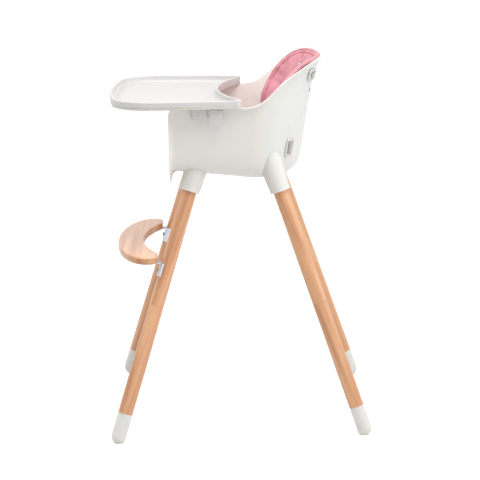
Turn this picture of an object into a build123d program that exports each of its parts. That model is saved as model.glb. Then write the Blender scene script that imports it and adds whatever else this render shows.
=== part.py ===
"""Wooden-legged baby high chair: moulded bucket seat, tray, footrest, quilted pad and harness.

Millimetres. The chair faces -Y, its left side is +X, and it stands on Z = 0.
"""
import os
from math import asin, atan2, cos, degrees, hypot, pi, radians, sin, sqrt, tan

from build123d import *

# Seat shell. Its floor tilts back, and its heights and reaches are taken square to that floor.
FLOOR_Z = 623.8
FLOOR_TILT = 5.75
FLOOR_HALF_W = 178.2
FLOOR_BACK = 145.9
SIDE_LEAN = 9.1
BACK_LEAN = 3.65
BACK_H = 300.5
FLARE_DROP = 105.0
BACK_FLARE = 12.0
CURVE_START = 20.0
CORNER_R = 90.0
FLOOR_R = 45.0
FRONT_Y = -167.0
SHELL_WALL = 3.6
ARM_RISE = 177.2
RIM_RISE_Y = 9.0
RIM_SHARES = ((0.28, 0.19), (0.47, 0.535), (0.68, 0.785))
RIM_CORNER_R = 20.0
LIP_W = 6.0
LIP_T = 4.0
FLANGE_W = 10.0
FLANGE_BEND_R = 8.0
FLANGE_CORNER_R = 52.0
APRON_DROP = 10.8
APRON_BEND_R = 18.0

# Legs, sockets and feet
LEG_R = 18.0
FRONT_TOP_INSET = 23.0
FRONT_TOP_Y = -120.5
FRONT_TOP_DROP = 44.4
FRONT_FOOT_X = 284.0
FRONT_FOOT_Y = -298.4
REAR_TOP_INSET = 17.0
REAR_TOP_Y = 99.5
REAR_TOP_DROP = 22.8
REAR_FOOT_X = 245.0
REAR_FOOT_Y = 298.4
FOOT_Z = 16.0
LEG_INSERT = 46.0
LEG_FIT = 0.1
SOCKET_R = 24.6
SOCKET_TOP_R = 29.0
SOCKET_RISE = 95.0
SLEEVE_R = 21.6
SLEEVE_CAP = 4.5
SLEEVE_GAP = 0.15
CAP_LENGTH = 57.0
CAP_WALL = 3.0
CAP_FLOOR = 10.0
SOLE_T = 3.0
SOLE_INSET = 0.4
BOLT_R = 3.0
BOLT_HEAD_R = 6.5
BOLT_HEAD_H = 4.0
BOLT_ROOM = 1.0
BOLT_GRIP = 22.0
INSERT_R = 5.5
INSERT_LENGTH = 24.0

# Footrest
BOARD_TOP_Z = 443.5
BOARD_T = 18.0
BOARD_EDGE_R = 5.0
BOARD_BOW = 104.0
BOARD_FLANK = 24.0
BOARD_CORNER_R = 10.0
BOARD_MID_W = 64.0
BOARD_LEG_STEP = 28.5
BOARD_OVERHANG = 29.6
BOARD_TIP_W = 46.0
SADDLE_T = 2.2
SADDLE_WRAP = 52.0
SADDLE_DROP = 40.0
SADDLE_TAB = 46.0
SADDLE_TAB_W = 26.0
SADDLE_END_R = 12.0
SCREW_R = 2.2
SCREW_HEAD_R = 4.2
SCREW_HEAD_H = 2.4
SCREW_LENGTH = 16.0
BOARD_SCREW_LENGTH = 14.0

# Tray
TRAY_GAP = 0.5
TRAY_H = 19.5
TRAY_FLOOR_T = 3.6
TRAY_RIM_W = 6.0
TRAY_RIM_R = 2.4
TRAY_WELL_R = 7.0
TRAY_SEAM_Z = 4.2
TRAY_SEAM_H = 1.6
TRAY_SEAM_DEPTH = 1.0
TRAY_REAR_Y = 16.0
TRAY_REAR_OVERHANG = 4.5
TRAY_OVERHANG = 25.5
TRAY_WIDE_Y = -176.0
TRAY_FRONT_Y = -314.0
TRAY_FRONT_R = 1000.0
TRAY_CORNER_R = 92.0
TRAY_REAR_R = 14.0
BELLY_DEPTH = 65.0
GUIDE_Y = -93.0
GUIDE_W = 36.0
GUIDE_DROP = 26.0
GUIDE_T = 7.0
HOOK_GAP = 0.6
HOOK_TOE = 4.0
LEVER_Y = -54.0
LEVER_W = 30.0
LEVER_DROP = 40.0
LEVER_T = 5.0
LEVER_GAP = 0.6
PIN_R = 1.6
PIN_FIT = 0.15
LUG_T = 2.6
LUG_R = 4.6

# Cushion, measured in the seat's own tilted frame
PAD_GAP = 1.6
QUILT_STEPS = 4
PAD_PANEL_T = 14.0
PAD_SEAM_T = 8.5
PAD_EDGE_T = 4.5
PAD_WING = 82.0
PAD_WING_REST = 6.0
PAD_PANELS = 8
PAD_DROP = 2.0
PAD_LOW_H = 14.0
PAD_WING_LOW_H = 60.0
PAD_ROUND = 5.0
PAD_BEND_SHARE = 0.7
SEAT_PAD_HALF_W = 126.0
SEAT_PAD_FRONT = -148.0
SEAT_PAD_BACK = 92.0
SEAT_PAD_GAP = 0.4
SEAT_PAD_PANELS = 6
SEAT_PAD_ROUND = 0.95
SEAT_PAD_SQUARE = 3.0
SEAT_PAD_T = 15.0
SEAT_PAD_SEAM_T = 10.0
SEAT_PAD_EDGE_T = 5.0

# Harness, measured in the seat's own tilted frame
WEB_W = 25.0
WEB_T = 1.5
WEB_PLAY = 0.2
SLOT_L = 33.0
SLOT_H = 9.0
SHOULDER_X = 86.0
SHOULDER_DROP = 45.0
SPARE_X = 50.0
SPARE_DROP = 42.0
WAIST_X = 129.0
WAIST_H = 80.0
CROTCH_REACH = 18.0
RETAINER_L = 47.0
RETAINER_W = 30.0
RETAINER_T = 3.4
RETAINER_BAR = 3.6
RETAINER_EDGE = 4.5
RETAINER_GAP = 1.2
BUCKLE_W = 56.0
BUCKLE_T = 16.0
BUCKLE_TALL = 38.0
BUCKLE_H = 21.0
BUTTON_R = 11.0
BUTTON_FIT = 0.4
BUTTON_PROUD = 2.6
BUTTON_DEPTH = 6.0
BUTTON_TRAVEL = 2.5
BUTTON_H = 35.0
STRAP_TUCK = 8.0
TONGUE_T = 4.0
TONGUE_TALL = 46.0
TONGUE_BAR = 4.5
TONGUE_BLADE = 11.0
TONGUE_BLADE_W = 12.0
SEWN = 20.0
WEB_BEND_R = 2.0

TILT = radians(FLOOR_TILT)
SEAT = Plane(origin=(0, 0, FLOOR_Z), x_dir=(1, 0, 0), z_dir=(0, sin(TILT), cos(TILT)))
REACH = 700.0
ARM_Z = FLOOR_Z + ARM_RISE
APRON_Z = FLOOR_Z - APRON_DROP
FLARE_H = BACK_H - FLARE_DROP
PAD_TOP_H = BACK_H - PAD_DROP
PAD_WING_END = PAD_WING + PAD_WING_REST
SHOULDER_H = BACK_H - SHOULDER_DROP
SPARE_H = SHOULDER_H - SPARE_DROP


def in_room(x, reach, height):
    """Point of the tilted seat in the chair's upright frame."""
    return SEAT.from_local_coords(Vector(x, reach, height))


def half_width(height):
    """Outside half width of the bucket at a height over its floor."""
    return FLOOR_HALF_W + height * tan(radians(SIDE_LEAN))


def back_reach(height):
    """Outside of the back on the centre line, with the flare under its top edge."""
    climb = max(0.0, (height - FLARE_H) / (BACK_H - FLARE_H))
    return FLOOR_BACK + height * tan(radians(BACK_LEAN)) + BACK_FLARE * climb**2


def floor_height(y):
    """Outside of the tilted floor at a place along the chair."""
    return FLOOR_Z - y * tan(TILT)


def plan_arcs(height, inset):
    """Half width, corner arc and back arc of the bucket's plan, drawn in by an inset."""
    half = half_width(height) - inset
    depth = back_reach(height) - inset - CURVE_START
    corner = CORNER_R - inset
    back = ((half - corner) ** 2 + depth**2 - corner**2) / (2 * (depth - corner))
    corner_centre = Vector(half - corner, CURVE_START)
    back_centre = Vector(0, CURVE_START + depth - back)
    return half, corner, corner_centre, back, back_centre


def plan_face(height, inset):
    """Closed plan of the bucket at a height, square to the floor, run out past its front."""
    half, corner, corner_centre, back, back_centre = plan_arcs(height, inset)
    lean = (corner_centre - back_centre).normalized()
    turn = atan2(lean.Y, lean.X) / 2
    meet = back_centre + lean * back
    bend = corner_centre + Vector(cos(turn), sin(turn)) * corner
    front = FRONT_Y - CORNER_R
    edges = [
        Line((-half, front), (half, front)),
        Line((half, front), (half, CURVE_START)),
        ThreePointArc((half, CURVE_START), (bend.X, bend.Y), (meet.X, meet.Y)),
        ThreePointArc((meet.X, meet.Y), (0, back_centre.Y + back), (-meet.X, meet.Y)),
        ThreePointArc((-meet.X, meet.Y), (-bend.X, bend.Y), (-half, CURVE_START)),
        Line((-half, CURVE_START), (-half, front)),
    ]
    return SEAT.offset(height) * make_face(edges)


def bucket(inset):
    """Solid bucket form, drawn in by an inset: a rounded floor edge and leaning walls."""
    radius = FLOOR_R - inset
    round_steps = [0, 14, 30, 48, 68, 90]
    sections = []
    for angle in round_steps:
        lift = inset + radius * (1 - cos(radians(angle)))
        draw_in = inset + radius * (1 - sin(radians(angle)))
        sections.append(plan_face(lift, draw_in))
    wall_steps = 6
    for step in range(1, wall_steps + 1):
        lift = FLOOR_R + (BACK_H + 2 * FLOOR_R - FLOOR_R) * step / wall_steps
        sections.append(plan_face(lift, inset))
    return loft(sections)


def rim_curve(drop):
    """Side view of the rim: level arms, an S-shaped rise and the top of the back."""
    top = in_room(0, back_reach(BACK_H) + LIP_W, BACK_H)
    rise = top.Z - ARM_Z
    span = top.Y - RIM_RISE_Y
    corner = FRONT_Y + RIM_CORNER_R
    low = ARM_Z - drop
    climb = [(RIM_RISE_Y + along * span, low + up * rise) for along, up in RIM_SHARES]
    return [
        Line((FRONT_Y - LIP_W, low - RIM_CORNER_R), (FRONT_Y, low - RIM_CORNER_R)),
        RadiusArc((FRONT_Y, low - RIM_CORNER_R), (corner, low), RIM_CORNER_R),
        Line((corner, low), (RIM_RISE_Y, low)),
        Spline((RIM_RISE_Y, low), *climb, (top.Y, low + rise), tangents=[(1, 0), (1, 0.2)]),
        Line((top.Y, low + rise), (top.Y + CORNER_R, low + rise)),
    ]


def above_rim(drop):
    """Everything above the rim, lowered by a drop."""
    curve = rim_curve(drop)
    start = curve[0] @ 0
    end = curve[-1] @ 1
    roof = end.Y + REACH / 2
    sides = Polyline(end, (end.X, roof), (start.X, roof), start)
    return extrude(Plane.YZ * make_face(curve + [sides]), amount=REACH / 2, both=True)


def leg_axis(top, foot):
    return (top - foot).normalized()


def rod(start, direction, length, radius):
    """Round bar from a point along a direction."""
    place = Plane(origin=start, z_dir=direction)
    return place * Cylinder(radius, length, align=(Align.CENTER, Align.CENTER, Align.MIN))


def mirrored(part):
    return mirror(part, about=Plane.YZ)


FRONT_TOP = Vector(FLOOR_HALF_W - FRONT_TOP_INSET, FRONT_TOP_Y, floor_height(FRONT_TOP_Y) - FRONT_TOP_DROP)
FRONT_FOOT = Vector(FRONT_FOOT_X, FRONT_FOOT_Y, FOOT_Z)
REAR_TOP = Vector(FLOOR_HALF_W - REAR_TOP_INSET, REAR_TOP_Y, floor_height(REAR_TOP_Y) - REAR_TOP_DROP)
REAR_FOOT = Vector(REAR_FOOT_X, REAR_FOOT_Y, FOOT_Z)
LEGS = {"front": (FRONT_TOP, FRONT_FOOT), "rear": (REAR_TOP, REAR_FOOT)}


def sleeve(top, foot, radius):
    """Space that a socket's inner sleeve takes in the shell."""
    return rod(top, leg_axis(top, foot), LEG_INSERT + SLEEVE_CAP, radius)


def bolt_room(top, foot):
    """Space over a socket's closed top for a bolt's head."""
    way = leg_axis(top, foot)
    return rod(top + way * (LEG_INSERT + SLEEVE_CAP), way, 2 * BOLT_HEAD_H, BOLT_HEAD_R + BOLT_ROOM)


def floor_draw(height, inset):
    """How far a wall's face is drawn in at a height, with the round of the floor edge."""
    drop = max(0.0, FLOOR_R - height)
    radius = FLOOR_R - inset
    return inset + radius - sqrt(radius**2 - drop**2)


def wall_reach(x, height, inset):
    """Reach of the back, in the seat's frame, at a distance from the centre line."""
    half, corner, corner_centre, back, back_centre = plan_arcs(height, floor_draw(height, inset))
    side = abs(x)
    meet = (corner_centre - back_centre).normalized() * back
    if side <= meet.X:
        return back_centre.Y + sqrt(back**2 - side**2)
    return CURVE_START + sqrt(corner**2 - (side - corner_centre.X) ** 2)


def ray_reach(angle, height, inset):
    """Distance from the seat's pivot line to the wall, on a plane turned from straight back."""
    half, corner, corner_centre, back, back_centre = plan_arcs(height, floor_draw(height, inset))
    way = Vector(sin(radians(abs(angle))), cos(radians(abs(angle))))
    pivot = Vector(0, CURVE_START)
    meet = back_centre + (corner_centre - back_centre).normalized() * back - pivot
    on_back = meet.X * way.Y >= meet.Y * way.X
    centre = back_centre - pivot if on_back else corner_centre - pivot
    radius = back if on_back else corner
    along = centre.dot(way)
    return along + sqrt(radius**2 - centre.dot(centre) + along**2)


def wall_plane(x, height):
    """Plane on the outside of the back: local X level along the wall, local Z outward."""
    step = 0.5
    here = Vector(x, wall_reach(x, height, 0), height)
    along = Vector(2 * step, wall_reach(x + step, height, 0) - wall_reach(x - step, height, 0), 0)
    up = Vector(0, wall_reach(x, height + step, 0) - wall_reach(x, height - step, 0), 2 * step)
    return Plane(origin=here, x_dir=along, z_dir=up.cross(along))


SHOULDER_PLANE = wall_plane(SHOULDER_X, SHOULDER_H)
SPARE_PLANE = wall_plane(SPARE_X, SPARE_H)
WAIST_PLANE = wall_plane(WAIST_X, WAIST_H)
CROTCH_PLANE = Plane(origin=(0, CROTCH_REACH, 0), x_dir=(1, 0, 0), z_dir=(0, 0, -1))
STANDING = 90


def slot_through(plane, turn, reach):
    """Rounded slot for the webbing, cut square through a wall."""
    return extrude(plane * SlotOverall(SLOT_L, SLOT_H, rotation=turn), amount=reach, both=True)


def webbing_slots(reach):
    """All slots on the chair's left side and the crotch slot, in the seat's frame."""
    left = slot_through(SHOULDER_PLANE, 0, reach) + slot_through(WAIST_PLANE, STANDING, reach)
    return left + slot_through(SPARE_PLANE, 0, reach), slot_through(CROTCH_PLANE, 0, reach)


def apron_bend():
    """Hollow sweep from the floor down to the dropped front lip."""
    start = FRONT_Y + SHELL_WALL
    end = start + APRON_BEND_R
    under = floor_height(end)
    buried = SHELL_WALL / 2
    profile = [
        RadiusArc((start, under - APRON_BEND_R), (end, under), APRON_BEND_R),
        Line((end, under), (end, under + buried)),
        Line((end, under + buried), (start - buried, floor_height(start) + buried)),
        Line((start - buried, floor_height(start) + buried), (start - buried, under - APRON_BEND_R)),
        Line((start - buried, under - APRON_BEND_R), (start, under - APRON_BEND_R)),
    ]
    return extrude(Plane.YZ * make_face(profile), amount=FLOOR_HALF_W - FLOOR_R, both=True)


def seat_shell():
    """Moulded bucket with a rolled rim, a flared front edge and a dropped apron."""
    outer = bucket(0)
    inner = bucket(SHELL_WALL)
    front = Plane(origin=(0, FRONT_Y, 0), x_dir=(1, 0, 0), z_dir=(0, -1, 0))
    shell = split(outer, bisect_by=front, keep=Keep.BOTTOM) - inner
    lip = (split(bucket(-LIP_W), bisect_by=front, keep=Keep.BOTTOM) - outer) & above_rim(LIP_T)
    top_half = half_width(SEAT.to_local_coords(Vector(0, FRONT_Y, ARM_Z)).Z) + FLANGE_W
    low_half = half_width(SEAT.to_local_coords(Vector(0, FRONT_Y, APRON_Z)).Z) + FLANGE_W
    corners = [(top_half, ARM_Z), (low_half, APRON_Z), (-low_half, APRON_Z), (-top_half, ARM_Z)]
    sheet = make_face(Polyline(corners, close=True))
    sheet = fillet(sheet.vertices().group_by(Axis.Y)[0], FLANGE_CORNER_R)
    flange = extrude(front * sheet, amount=-SHELL_WALL)
    outline = flange.faces().sort_by(Axis.Y)[-1].outer_wire()
    shell = shell + (flange - inner)
    back_y = FRONT_Y + SHELL_WALL
    bend = [
        edge
        for edge in shell.edges()
        if abs((edge @ 0).Y - back_y) < 0.01
        and abs((edge @ 0.5).Y - back_y) < 0.01
        and abs((edge @ 1).Y - back_y) < 0.01
        and outline.distance_to(edge @ 0.5) > 1
    ]
    shell = fillet(bend, FLANGE_BEND_R) + apron_bend()
    shell = shell + lip - above_rim(0)
    left_slots, crotch_slot = webbing_slots(3 * SHELL_WALL)
    shell -= SEAT * left_slots
    shell -= SEAT * mirrored(left_slots)
    shell -= SEAT * crotch_slot
    for top, foot in LEGS.values():
        hole = sleeve(top, foot, SLEEVE_R + SLEEVE_GAP) + bolt_room(top, foot)
        shell -= hole
        shell -= mirrored(hole)
    return shell, outer


def leg_socket(top, foot, outer):
    """Tapered sleeve that takes a leg, with a shoulder against the shell and a closed top."""
    way = leg_axis(top, foot)
    cone = Cone(SOCKET_R, SOCKET_TOP_R, SOCKET_RISE, align=(Align.CENTER, Align.CENTER, Align.MIN))
    collar = Plane(origin=top, z_dir=way) * cone - outer
    socket = collar + sleeve(top, foot, SLEEVE_R)
    socket -= rod(top - way, way, LEG_INSERT + 1, LEG_R + LEG_FIT)
    return socket - rod(top, way, LEG_INSERT + 2 * SLEEVE_CAP, BOLT_R + LEG_FIT) - bolt_room(top, foot)


def leg(top, foot):
    """Straight round beech leg with a turned tenon at the foot and a bored top end."""
    way = leg_axis(top, foot)
    cap_top = foot + way * CAP_LENGTH
    end = top + way * LEG_INSERT
    bar = rod(cap_top, way, (end - cap_top).length, LEG_R)
    tenon_start = foot + way * CAP_FLOOR
    bar += rod(tenon_start, way, CAP_LENGTH - CAP_FLOOR, LEG_R - CAP_WALL - LEG_FIT)
    bore = rod(end - way * INSERT_LENGTH, way, INSERT_LENGTH, INSERT_R)
    return bar - bore


def foot_cap(top, foot):
    """Round-ended cup over the leg's end, flush with the leg, cut flat for its sole."""
    way = leg_axis(top, foot)
    cup = rod(foot, way, CAP_LENGTH, LEG_R) + Pos(foot) * Sphere(LEG_R)
    cup -= rod(foot + way * CAP_FLOOR, way, CAP_LENGTH, LEG_R - CAP_WALL)
    ground = Box(4 * LEG_R, 4 * LEG_R, 4 * LEG_R, align=(Align.CENTER, Align.CENTER, Align.MAX))
    return cup - Pos(foot.X, foot.Y, SOLE_T) * ground


def foot_sole(foot):
    """Anti-slip disc under a foot cap."""
    radius = sqrt(LEG_R**2 - (foot.Z - SOLE_T) ** 2) - SOLE_INSET
    disc = Pos(foot.X, foot.Y, 0) * Cylinder(radius, SOLE_T, align=(Align.CENTER, Align.CENTER, Align.MIN))
    return chamfer(disc.edges().group_by(Axis.Z)[0], SOLE_T / 4)


def leg_insert(top, foot):
    """Threaded sleeve glued into the top of a leg."""
    way = leg_axis(top, foot)
    start = top + way * (LEG_INSERT - INSERT_LENGTH)
    return rod(start, way, INSERT_LENGTH, INSERT_R) - rod(start, way, INSERT_LENGTH, BOLT_R)


def screw(place, length, radius, head_radius, head_height):
    """Pan-head screw along a plane's local -Z, its head standing on the plane."""
    head = Cylinder(head_radius, head_height, align=(Align.CENTER, Align.CENTER, Align.MIN))
    head = fillet(head.edges().sort_by(Axis.Z)[-1], head_height / 2)
    shank = Cylinder(radius, length, align=(Align.CENTER, Align.CENTER, Align.MAX))
    return place * (head + shank)


def leg_bolt(top, foot):
    """Bolt down through a socket's closed top into the leg's insert."""
    way = leg_axis(top, foot)
    seat = top + way * (LEG_INSERT + SLEEVE_CAP)
    return screw(Plane(origin=seat, z_dir=way), BOLT_GRIP, BOLT_R, BOLT_HEAD_R, BOLT_HEAD_H)


def leg_point(z):
    """Point of the left front leg's axis at a height."""
    way = leg_axis(FRONT_TOP, FRONT_FOOT)
    return FRONT_TOP + way * ((z - FRONT_TOP.Z) / way.Z)


BOARD_UNDER = BOARD_TOP_Z - BOARD_T
BOARD_END_Y = leg_point(BOARD_UNDER).Y - BOARD_LEG_STEP
BOARD_HALF_W = leg_point(BOARD_UNDER).X + BOARD_OVERHANG
BOARD_FRONT_Y = BOARD_END_Y - BOARD_BOW
BOARD_NOSE = BOARD_BOW - BOARD_FLANK
BOARD_END_X = BOARD_HALF_W * sqrt(1 - (BOARD_FLANK / BOARD_NOSE) ** 2)


def footrest_board():
    """Crescent board with rounded edges and an elliptical nose, cut square in front of the legs."""
    inner_mid = BOARD_FRONT_Y + BOARD_MID_W
    tip = BOARD_END_X - BOARD_TIP_W
    turn = degrees(asin(BOARD_FLANK / BOARD_NOSE))
    nose_mid = (0, BOARD_END_Y - BOARD_FLANK)
    nose = EllipticalCenterArc(nose_mid, BOARD_HALF_W, BOARD_NOSE, 180 - turn, arc_size=180 + 2 * turn)
    outline = [
        nose,
        Line(nose @ 1, (tip, BOARD_END_Y)),
        ThreePointArc((tip, BOARD_END_Y), (0, inner_mid), (-tip, BOARD_END_Y)),
        Line((-tip, BOARD_END_Y), nose @ 0),
    ]
    face = make_face(outline)
    face = fillet(face.vertices(), BOARD_CORNER_R)
    board = Pos(0, 0, BOARD_UNDER) * extrude(face, amount=BOARD_T)
    board = fillet(board.edges().group_by(Axis.Z)[-1], BOARD_EDGE_R)
    return fillet(board.edges().group_by(Axis.Z)[0], BOARD_EDGE_R / 2)


def saddle_frame():
    """Plane on the left front leg's axis under the board: local X forward, local Z up the leg."""
    under = leg_point(BOARD_UNDER)
    way = leg_axis(FRONT_TOP, FRONT_FOOT)
    tip_x = BOARD_END_X - BOARD_TIP_W / 2
    ahead = Vector(tip_x - under.X, BOARD_END_Y - SADDLE_TAB - under.Y, 0)
    ahead = ahead - way * ahead.dot(way)
    return Plane(origin=under, x_dir=ahead, z_dir=way)


def footrest_saddle():
    """Bent metal bracket: a tongue hugging the leg's front and a tab under the board's end."""
    frame = saddle_frame()
    bore = LEG_R + LEG_FIT
    ring = Cylinder(bore + SADDLE_T, 2 * SADDLE_DROP) - Cylinder(bore, 2 * SADDLE_DROP)
    spread = (bore + SADDLE_T) * sin(radians(SADDLE_WRAP))
    tongue_face = RectangleRounded(2 * spread, SADDLE_DROP + 2 * SADDLE_END_R, SADDLE_END_R)
    tongue_face = Plane.YZ * Pos(0, -SADDLE_DROP / 2) * tongue_face
    tongue = frame * (ring & extrude(tongue_face, amount=2 * bore))
    tongue = split(tongue, bisect_by=Plane(origin=(0, 0, BOARD_UNDER), z_dir=(0, 0, 1)), keep=Keep.BOTTOM)
    ahead = Vector(frame.x_dir.X, frame.x_dir.Y, 0).normalized()
    tab_plane = Plane(origin=frame.origin, x_dir=ahead, z_dir=(0, 0, 1))
    tab_face = RectangleRounded(SADDLE_TAB + bore / 2, SADDLE_TAB_W, SADDLE_END_R / 2)
    tab_face = Pos(SADDLE_TAB / 2 + 3 * bore / 4, 0) * tab_face
    tab = tab_plane * extrude(tab_face, amount=-SADDLE_T)
    tab -= rod(frame.origin - frame.z_dir * LEG_R, frame.z_dir, 2 * LEG_R, bore)
    return tongue + tab


def saddle_leg_screw_place():
    frame = saddle_frame()
    down = SADDLE_DROP / 2 + SADDLE_END_R / 2
    start = frame.from_local_coords(Vector(LEG_R + LEG_FIT + SADDLE_T, 0, -down))
    return Plane(origin=start, z_dir=frame.x_dir)


def saddle_board_screw_places():
    frame = saddle_frame()
    ahead = Vector(frame.x_dir.X, frame.x_dir.Y, 0).normalized()
    under = Vector(frame.origin.X, frame.origin.Y, BOARD_UNDER - SADDLE_T)
    gap_to_board = (frame.origin.Y - BOARD_END_Y) / -ahead.Y
    first = gap_to_board + 2 * SCREW_HEAD_R
    second = LEG_R + SADDLE_TAB - 2 * SCREW_HEAD_R
    return [Plane(origin=under + ahead * step, z_dir=(0, 0, -1)) for step in (first, second)]


def arm_half(y):
    """Outside half width of the wall at the arm rims."""
    return half_width(SEAT.to_local_coords(Vector(0, y, ARM_Z)).Z)


TRAY_Z = ARM_Z + TRAY_GAP
HOOK_X = arm_half(LEVER_Y + LEVER_W) + LIP_W + HOOK_GAP
PIN_X = HOOK_X + LUG_R
PIN_Z = TRAY_Z - LUG_R - HOOK_GAP
TRAY_REAR_HALF_W = HOOK_X + TRAY_REAR_OVERHANG
TRAY_HALF_W = HOOK_X + TRAY_OVERHANG


def tray_outline():
    """Tray plan: bowed front, large front corners, belly cut-out behind."""
    rear = TRAY_REAR_HALF_W
    wide = TRAY_HALF_W
    corner_y = TRAY_FRONT_Y + TRAY_FRONT_R - sqrt(TRAY_FRONT_R**2 - wide**2)
    middle_y = (TRAY_WIDE_Y + TRAY_REAR_Y) / 2
    middle = (rear + wide) / 2 + (wide - rear) / 4
    edges = [
        ThreePointArc((-wide, corner_y), (0, TRAY_FRONT_Y), (wide, corner_y)),
        Line((wide, corner_y), (wide, TRAY_WIDE_Y)),
        ThreePointArc((wide, TRAY_WIDE_Y), (middle, middle_y), (rear, TRAY_REAR_Y)),
        ThreePointArc((rear, TRAY_REAR_Y), (0, TRAY_REAR_Y - BELLY_DEPTH), (-rear, TRAY_REAR_Y)),
        ThreePointArc((-rear, TRAY_REAR_Y), (-middle, middle_y), (-wide, TRAY_WIDE_Y)),
        Line((-wide, TRAY_WIDE_Y), (-wide, corner_y)),
    ]
    face = make_face(edges)
    face = fillet(face.vertices().group_by(Axis.Y)[0], TRAY_CORNER_R)
    return fillet(face.vertices().group_by(Axis.Y)[-1], TRAY_REAR_R)


def drawn_in(outline, inset):
    """Outline of lines and arcs, moved inward all round."""
    edges = []
    for edge in offset(outline, -inset).edges():
        straight = edge.geom_type == GeomType.LINE
        edges.append(edge if straight else ThreePointArc(edge @ 0, edge @ 0.5, edge @ 1))
    return make_face(edges)


def tray():
    """Moulded tray with a raised rim, a shadow line round its side and the lugs of its levers."""
    outline = tray_outline()
    block = extrude(outline, amount=TRAY_H)
    block = fillet(block.edges().group_by(Axis.Z)[-1], TRAY_RIM_R)
    block = fillet(block.edges().group_by(Axis.Z)[0], TRAY_RIM_R / 2)
    well = Pos(0, 0, TRAY_FLOOR_T) * extrude(drawn_in(outline, TRAY_RIM_W), amount=TRAY_H)
    well = fillet(well.edges().group_by(Axis.Z)[0], TRAY_WELL_R)
    dish = block - well
    mouth = dish.faces().sort_by(Axis.Z)[-1].inner_wires()[0]
    dish = Pos(0, 0, TRAY_Z) * fillet(mouth.edges(), TRAY_RIM_R)
    lug = lever_lugs()
    seam = extrude(outline - drawn_in(outline, TRAY_SEAM_DEPTH), amount=TRAY_SEAM_H)
    return dish - Pos(0, 0, TRAY_Z + TRAY_SEAM_Z) * seam + lug + mirrored(lug)


def lever_lugs():
    """Two rounded lugs under the tray's left side that hold a lever's pin."""
    lugs = None
    for side in (-1, 1):
        middle = LEVER_Y + side * (LEVER_W / 2 + LEVER_GAP + LUG_T / 2)
        plate = Plane.XZ * (Pos(PIN_X, PIN_Z) * Circle(LUG_R))
        neck = Rectangle(2 * LUG_R, TRAY_Z - PIN_Z + TRAY_RIM_R, align=(Align.CENTER, Align.MIN))
        plate += Plane.XZ * (Pos(PIN_X, PIN_Z) * neck)
        plate -= Plane.XZ * (Pos(PIN_X, PIN_Z) * Circle(PIN_R))
        lug = Pos(0, middle, 0) * extrude(plate, amount=LUG_T / 2, both=True)
        lugs = lug if lugs is None else lugs + lug
    return lugs


def tray_guide():
    """Block under the tray's left side that runs along the outside of the rolled arm rim."""
    place = Pos(HOOK_X + GUIDE_T / 2, GUIDE_Y, TRAY_Z)
    block = place * Box(GUIDE_T, GUIDE_W, GUIDE_DROP, align=(Align.CENTER, Align.CENTER, Align.MAX))
    block = fillet(block.edges().filter_by(Axis.X).group_by(Axis.Z)[0], GUIDE_T)
    return fillet(block.faces().sort_by(Axis.X)[-1].edges().group_by(Axis.Z)[0], GUIDE_T / 4)


def tray_lever():
    """Release lever hung on a pin, with a toe under the arm rim."""
    low = TRAY_Z - LEVER_DROP
    top = ARM_Z - LIP_T - HOOK_GAP
    toe = HOOK_X - HOOK_GAP - HOOK_TOE
    hub = LUG_R - LEVER_GAP
    profile = Pos(PIN_X, PIN_Z) * Circle(hub)
    profile += Pos(PIN_X, (PIN_Z + low) / 2) * Rectangle(LEVER_T, PIN_Z - low)
    profile += Pos((toe + PIN_X) / 2, top - hub / 2) * Rectangle(PIN_X - toe, hub)
    profile -= Pos(PIN_X, PIN_Z) * Circle(PIN_R + PIN_FIT)
    lever = Pos(0, LEVER_Y, 0) * extrude(Plane.XZ * profile, amount=LEVER_W / 2, both=True)
    feet = lever.edges().filter_by(Axis.X).group_by(Axis.Z)[0]
    return fillet(feet, LEVER_T)


def lever_pin():
    """Pin through the lugs and the lever."""
    length = LEVER_W + 2 * (LEVER_GAP + LUG_T)
    return rod(Vector(PIN_X, LEVER_Y - length / 2, PIN_Z), Vector(0, 1, 0), length, PIN_R)


def pad_section(angle, thickness):
    """Upright slice of the back cushion on a plane turned from straight back."""
    round_off = (abs(angle) / PAD_WING_END) ** PAD_ROUND
    top = PAD_TOP_H * sqrt(1 - round_off)
    low = PAD_LOW_H + (PAD_WING_LOW_H - PAD_LOW_H) * (angle / PAD_WING) ** 2
    bend = min(FLARE_H, low + PAD_BEND_SHARE * (top - low))
    middle = (low + top) / 2
    upper = (bend + top) / 2

    def behind(height):
        return ray_reach(angle, height, SHELL_WALL) - PAD_GAP

    edges = [
        Line((behind(low), low), (behind(bend), bend)),
        ThreePointArc((behind(bend), bend), (behind(upper), upper), (behind(top), top)),
        Line((behind(top), top), (behind(top) - PAD_EDGE_T, top)),
        ThreePointArc(
            (behind(top) - PAD_EDGE_T, top),
            (behind(middle) - thickness, middle),
            (behind(low) - PAD_EDGE_T, low),
        ),
        Line((behind(low) - PAD_EDGE_T, low), (behind(low), low)),
    ]
    turn = radians(angle)
    way = (sin(turn), cos(turn), 0)
    upright = Plane(origin=(0, CURVE_START, 0), x_dir=way, z_dir=(cos(turn), -sin(turn), 0))
    return upright * make_face(edges)


def crown(share, seam, panel):
    """Thickness across one quilted panel, from seam to seam."""
    return seam + (panel - seam) * sin(pi * share)


def quilt(start, end, panels, edge, seam, panel):
    """Places across a quilted cushion with the thickness at each."""
    step = (end - start) / panels
    places = [(start, edge)]
    for number in range(panels):
        for part in range(1, QUILT_STEPS + 1):
            share = part / QUILT_STEPS
            rim = number == 0 and share < 0.5 or number == panels - 1 and share > 0.5
            low = edge if rim else seam
            places.append((start + (number + share) * step, crown(share, low, panel)))
    return places


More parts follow.
